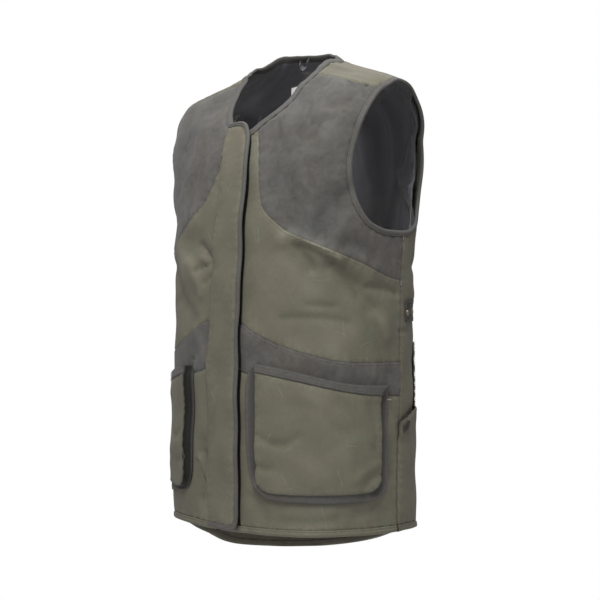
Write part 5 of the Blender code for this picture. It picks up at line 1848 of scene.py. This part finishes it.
@dataclass
class Sewing:
    """All stitches, joined by thread and kind."""

    work: Workroom
    seed: int = 7

    def make(self) -> None:
        """Sews every marked row."""
        tree = SewingTree()
        kinds: dict[tuple[str, float], list[SewnRow]] = {}
        for row in self.work.sewn:
            kinds.setdefault((row.thread.name, row.stitch.pitch), []).append(row)
        for number, ((thread, pitch), rows) in enumerate(sorted(kinds.items(), key=lambda item: item[0])):
            name = "stitches_{}_{:.0f}".format(thread, 10000 * pitch)
            finish = rows[0].thread
            made = tree.sew(name, rows, self.work.material(finish), self.seed + number)
            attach(made, "root")
            LOG.info("%s: %d faces", name, len(made.data.polygons))


@dataclass
class Studio:
    """A pale floor, soft light and the camera at the photograph's angle."""

    azimuth: float = 44.0
    distance: float = 2.1
    aim_level: float = -0.354
    lens: float = 83.79
    shift: float = 0.0092
    floor_level: float = -1.45
    floor_size: float = 3.2
    sky: float = 0.30

    def make(self) -> None:
        """Sets up the camera, the lights and the floor."""
        scene = bpy.context.scene
        scene.view_settings.view_transform = "Standard"
        self._make_camera(scene)
        self._make_world(scene)
        for name, azimuth, elevation, distance, size, power in (
                ("key", 30.0, 50.0, 2.4, 1.0, 46.0), ("fill", 44.0, 6.0, 2.6, 1.6, 7.0),
                ("top", 60.0, 84.0, 2.2, 1.2, 20.0), ("back", 215.0, 35.0, 2.6, 2.0, 16.0)):
            self._make_light(name, azimuth, elevation, distance, size, power)
        self._make_floor()

    def _toward(self, azimuth: float, elevation: float, distance: float) -> Vector:
        """A place round the gilet."""
        a, e = math.radians(azimuth), math.radians(elevation)
        return Vector((
            distance * math.sin(a) * math.cos(e), -distance * math.cos(a) * math.cos(e),
            self.aim_level + distance * math.sin(e)))

    def _make_camera(self, scene: bpy.types.Scene) -> None:
        """The camera, level with the middle of the gilet."""
        data = bpy.data.cameras.new("camera")
        data.lens = self.lens
        data.sensor_width = 36.0
        data.shift_x = self.shift
        camera = bpy.data.objects.new("camera", data)
        camera.location = self._toward(self.azimuth, 0.0, self.distance)
        camera.rotation_euler = (math.radians(90.0), 0.0, math.radians(self.azimuth))
        scene.collection.objects.link(camera)
        scene.camera = camera

    def _make_world(self, scene: bpy.types.Scene) -> None:
        """A white surround that lights softly and shows as plain white."""
        world = bpy.data.worlds.new("surround")
        world.use_nodes = True
        tree = world.node_tree
        white = (1.0, 1.0, 1.0, 1.0)
        lit = tree.nodes["Background"]
        lit.inputs["Color"].default_value = white
        lit.inputs["Strength"].default_value = self.sky
        seen = add_node(tree, "ShaderNodeBackground", {}, {"Color": white, "Strength": 1.0})
        ray = add_node(tree, "ShaderNodeLightPath", {}, {})
        mix = add_node(tree, "ShaderNodeMixShader", {}, {
            0: ray.outputs["Is Camera Ray"], 1: lit.outputs[0], 2: seen.outputs[0]})
        tree.links.new(mix.outputs[0], tree.nodes["World Output"].inputs["Surface"])
        scene.world = world

    def _make_light(
            self, name: str, azimuth: float, elevation: float, distance: float, size: float,
            power: float) -> None:
        """A square soft light that faces the gilet."""
        data = bpy.data.lights.new(name, "AREA")
        data.size = size
        data.energy = power
        light = bpy.data.objects.new(name, data)
        light.location = self._toward(azimuth, elevation, distance)
        aim = Vector((0.0, 0.0, self.aim_level))
        light.rotation_euler = (light.location - aim).to_track_quat("Z", "Y").to_euler()
        bpy.context.scene.collection.objects.link(light)

    def _make_floor(self) -> None:
        """The floor lies where the wearer would stand."""
        half = self.floor_size / 2
        mesh = bpy.data.meshes.new("floor")
        corners = [(x * half, y * half, self.floor_level) for x, y in ((-1, -1), (1, -1), (1, 1), (-1, 1))]
        mesh.from_pydata(corners, [], [(0, 1, 2, 3)])
        graph = ShaderGraph("pale_floor")
        clouds = graph.noise(graph.object_place(), 0.4, 2.0)
        colour = graph.mixed((0.86, 0.86, 0.85), (0.82, 0.82, 0.81), clouds)
        graph.finish(colour, 0.8, None)
        mesh.materials.append(graph.material)
        floor = bpy.data.objects.new("floor", mesh)
        bpy.context.scene.collection.objects.link(floor)


def main() -> None:
    """Builds every sub-assembly round the frame, in the order that a maker would."""
    logging.basicConfig(level=logging.INFO, format="%(name)s: %(message)s")
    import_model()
    figure = Figure(SECTIONS, MAIN_FOLDS + FINE_FOLDS, Swell())
    work = Workroom(figure)
    shell = Shell(work)
    shell.make(shell.pattern())
    Edges(work, shell).make()
    Inside(work, shell).make()
    Placket(work).make()
    Pocket(work, Side.LEFT).make()
    Pocket(
        work, Side.RIGHT, depth=0.0040, lean=0.0110, bulge=0.0008, drop=0.0070, flange=0.50,
        shaded=0.6).make()
    Leather(work, shell).make()
    Sewing(work).make()
    Studio().make()


if __name__ == "__main__":
    main()
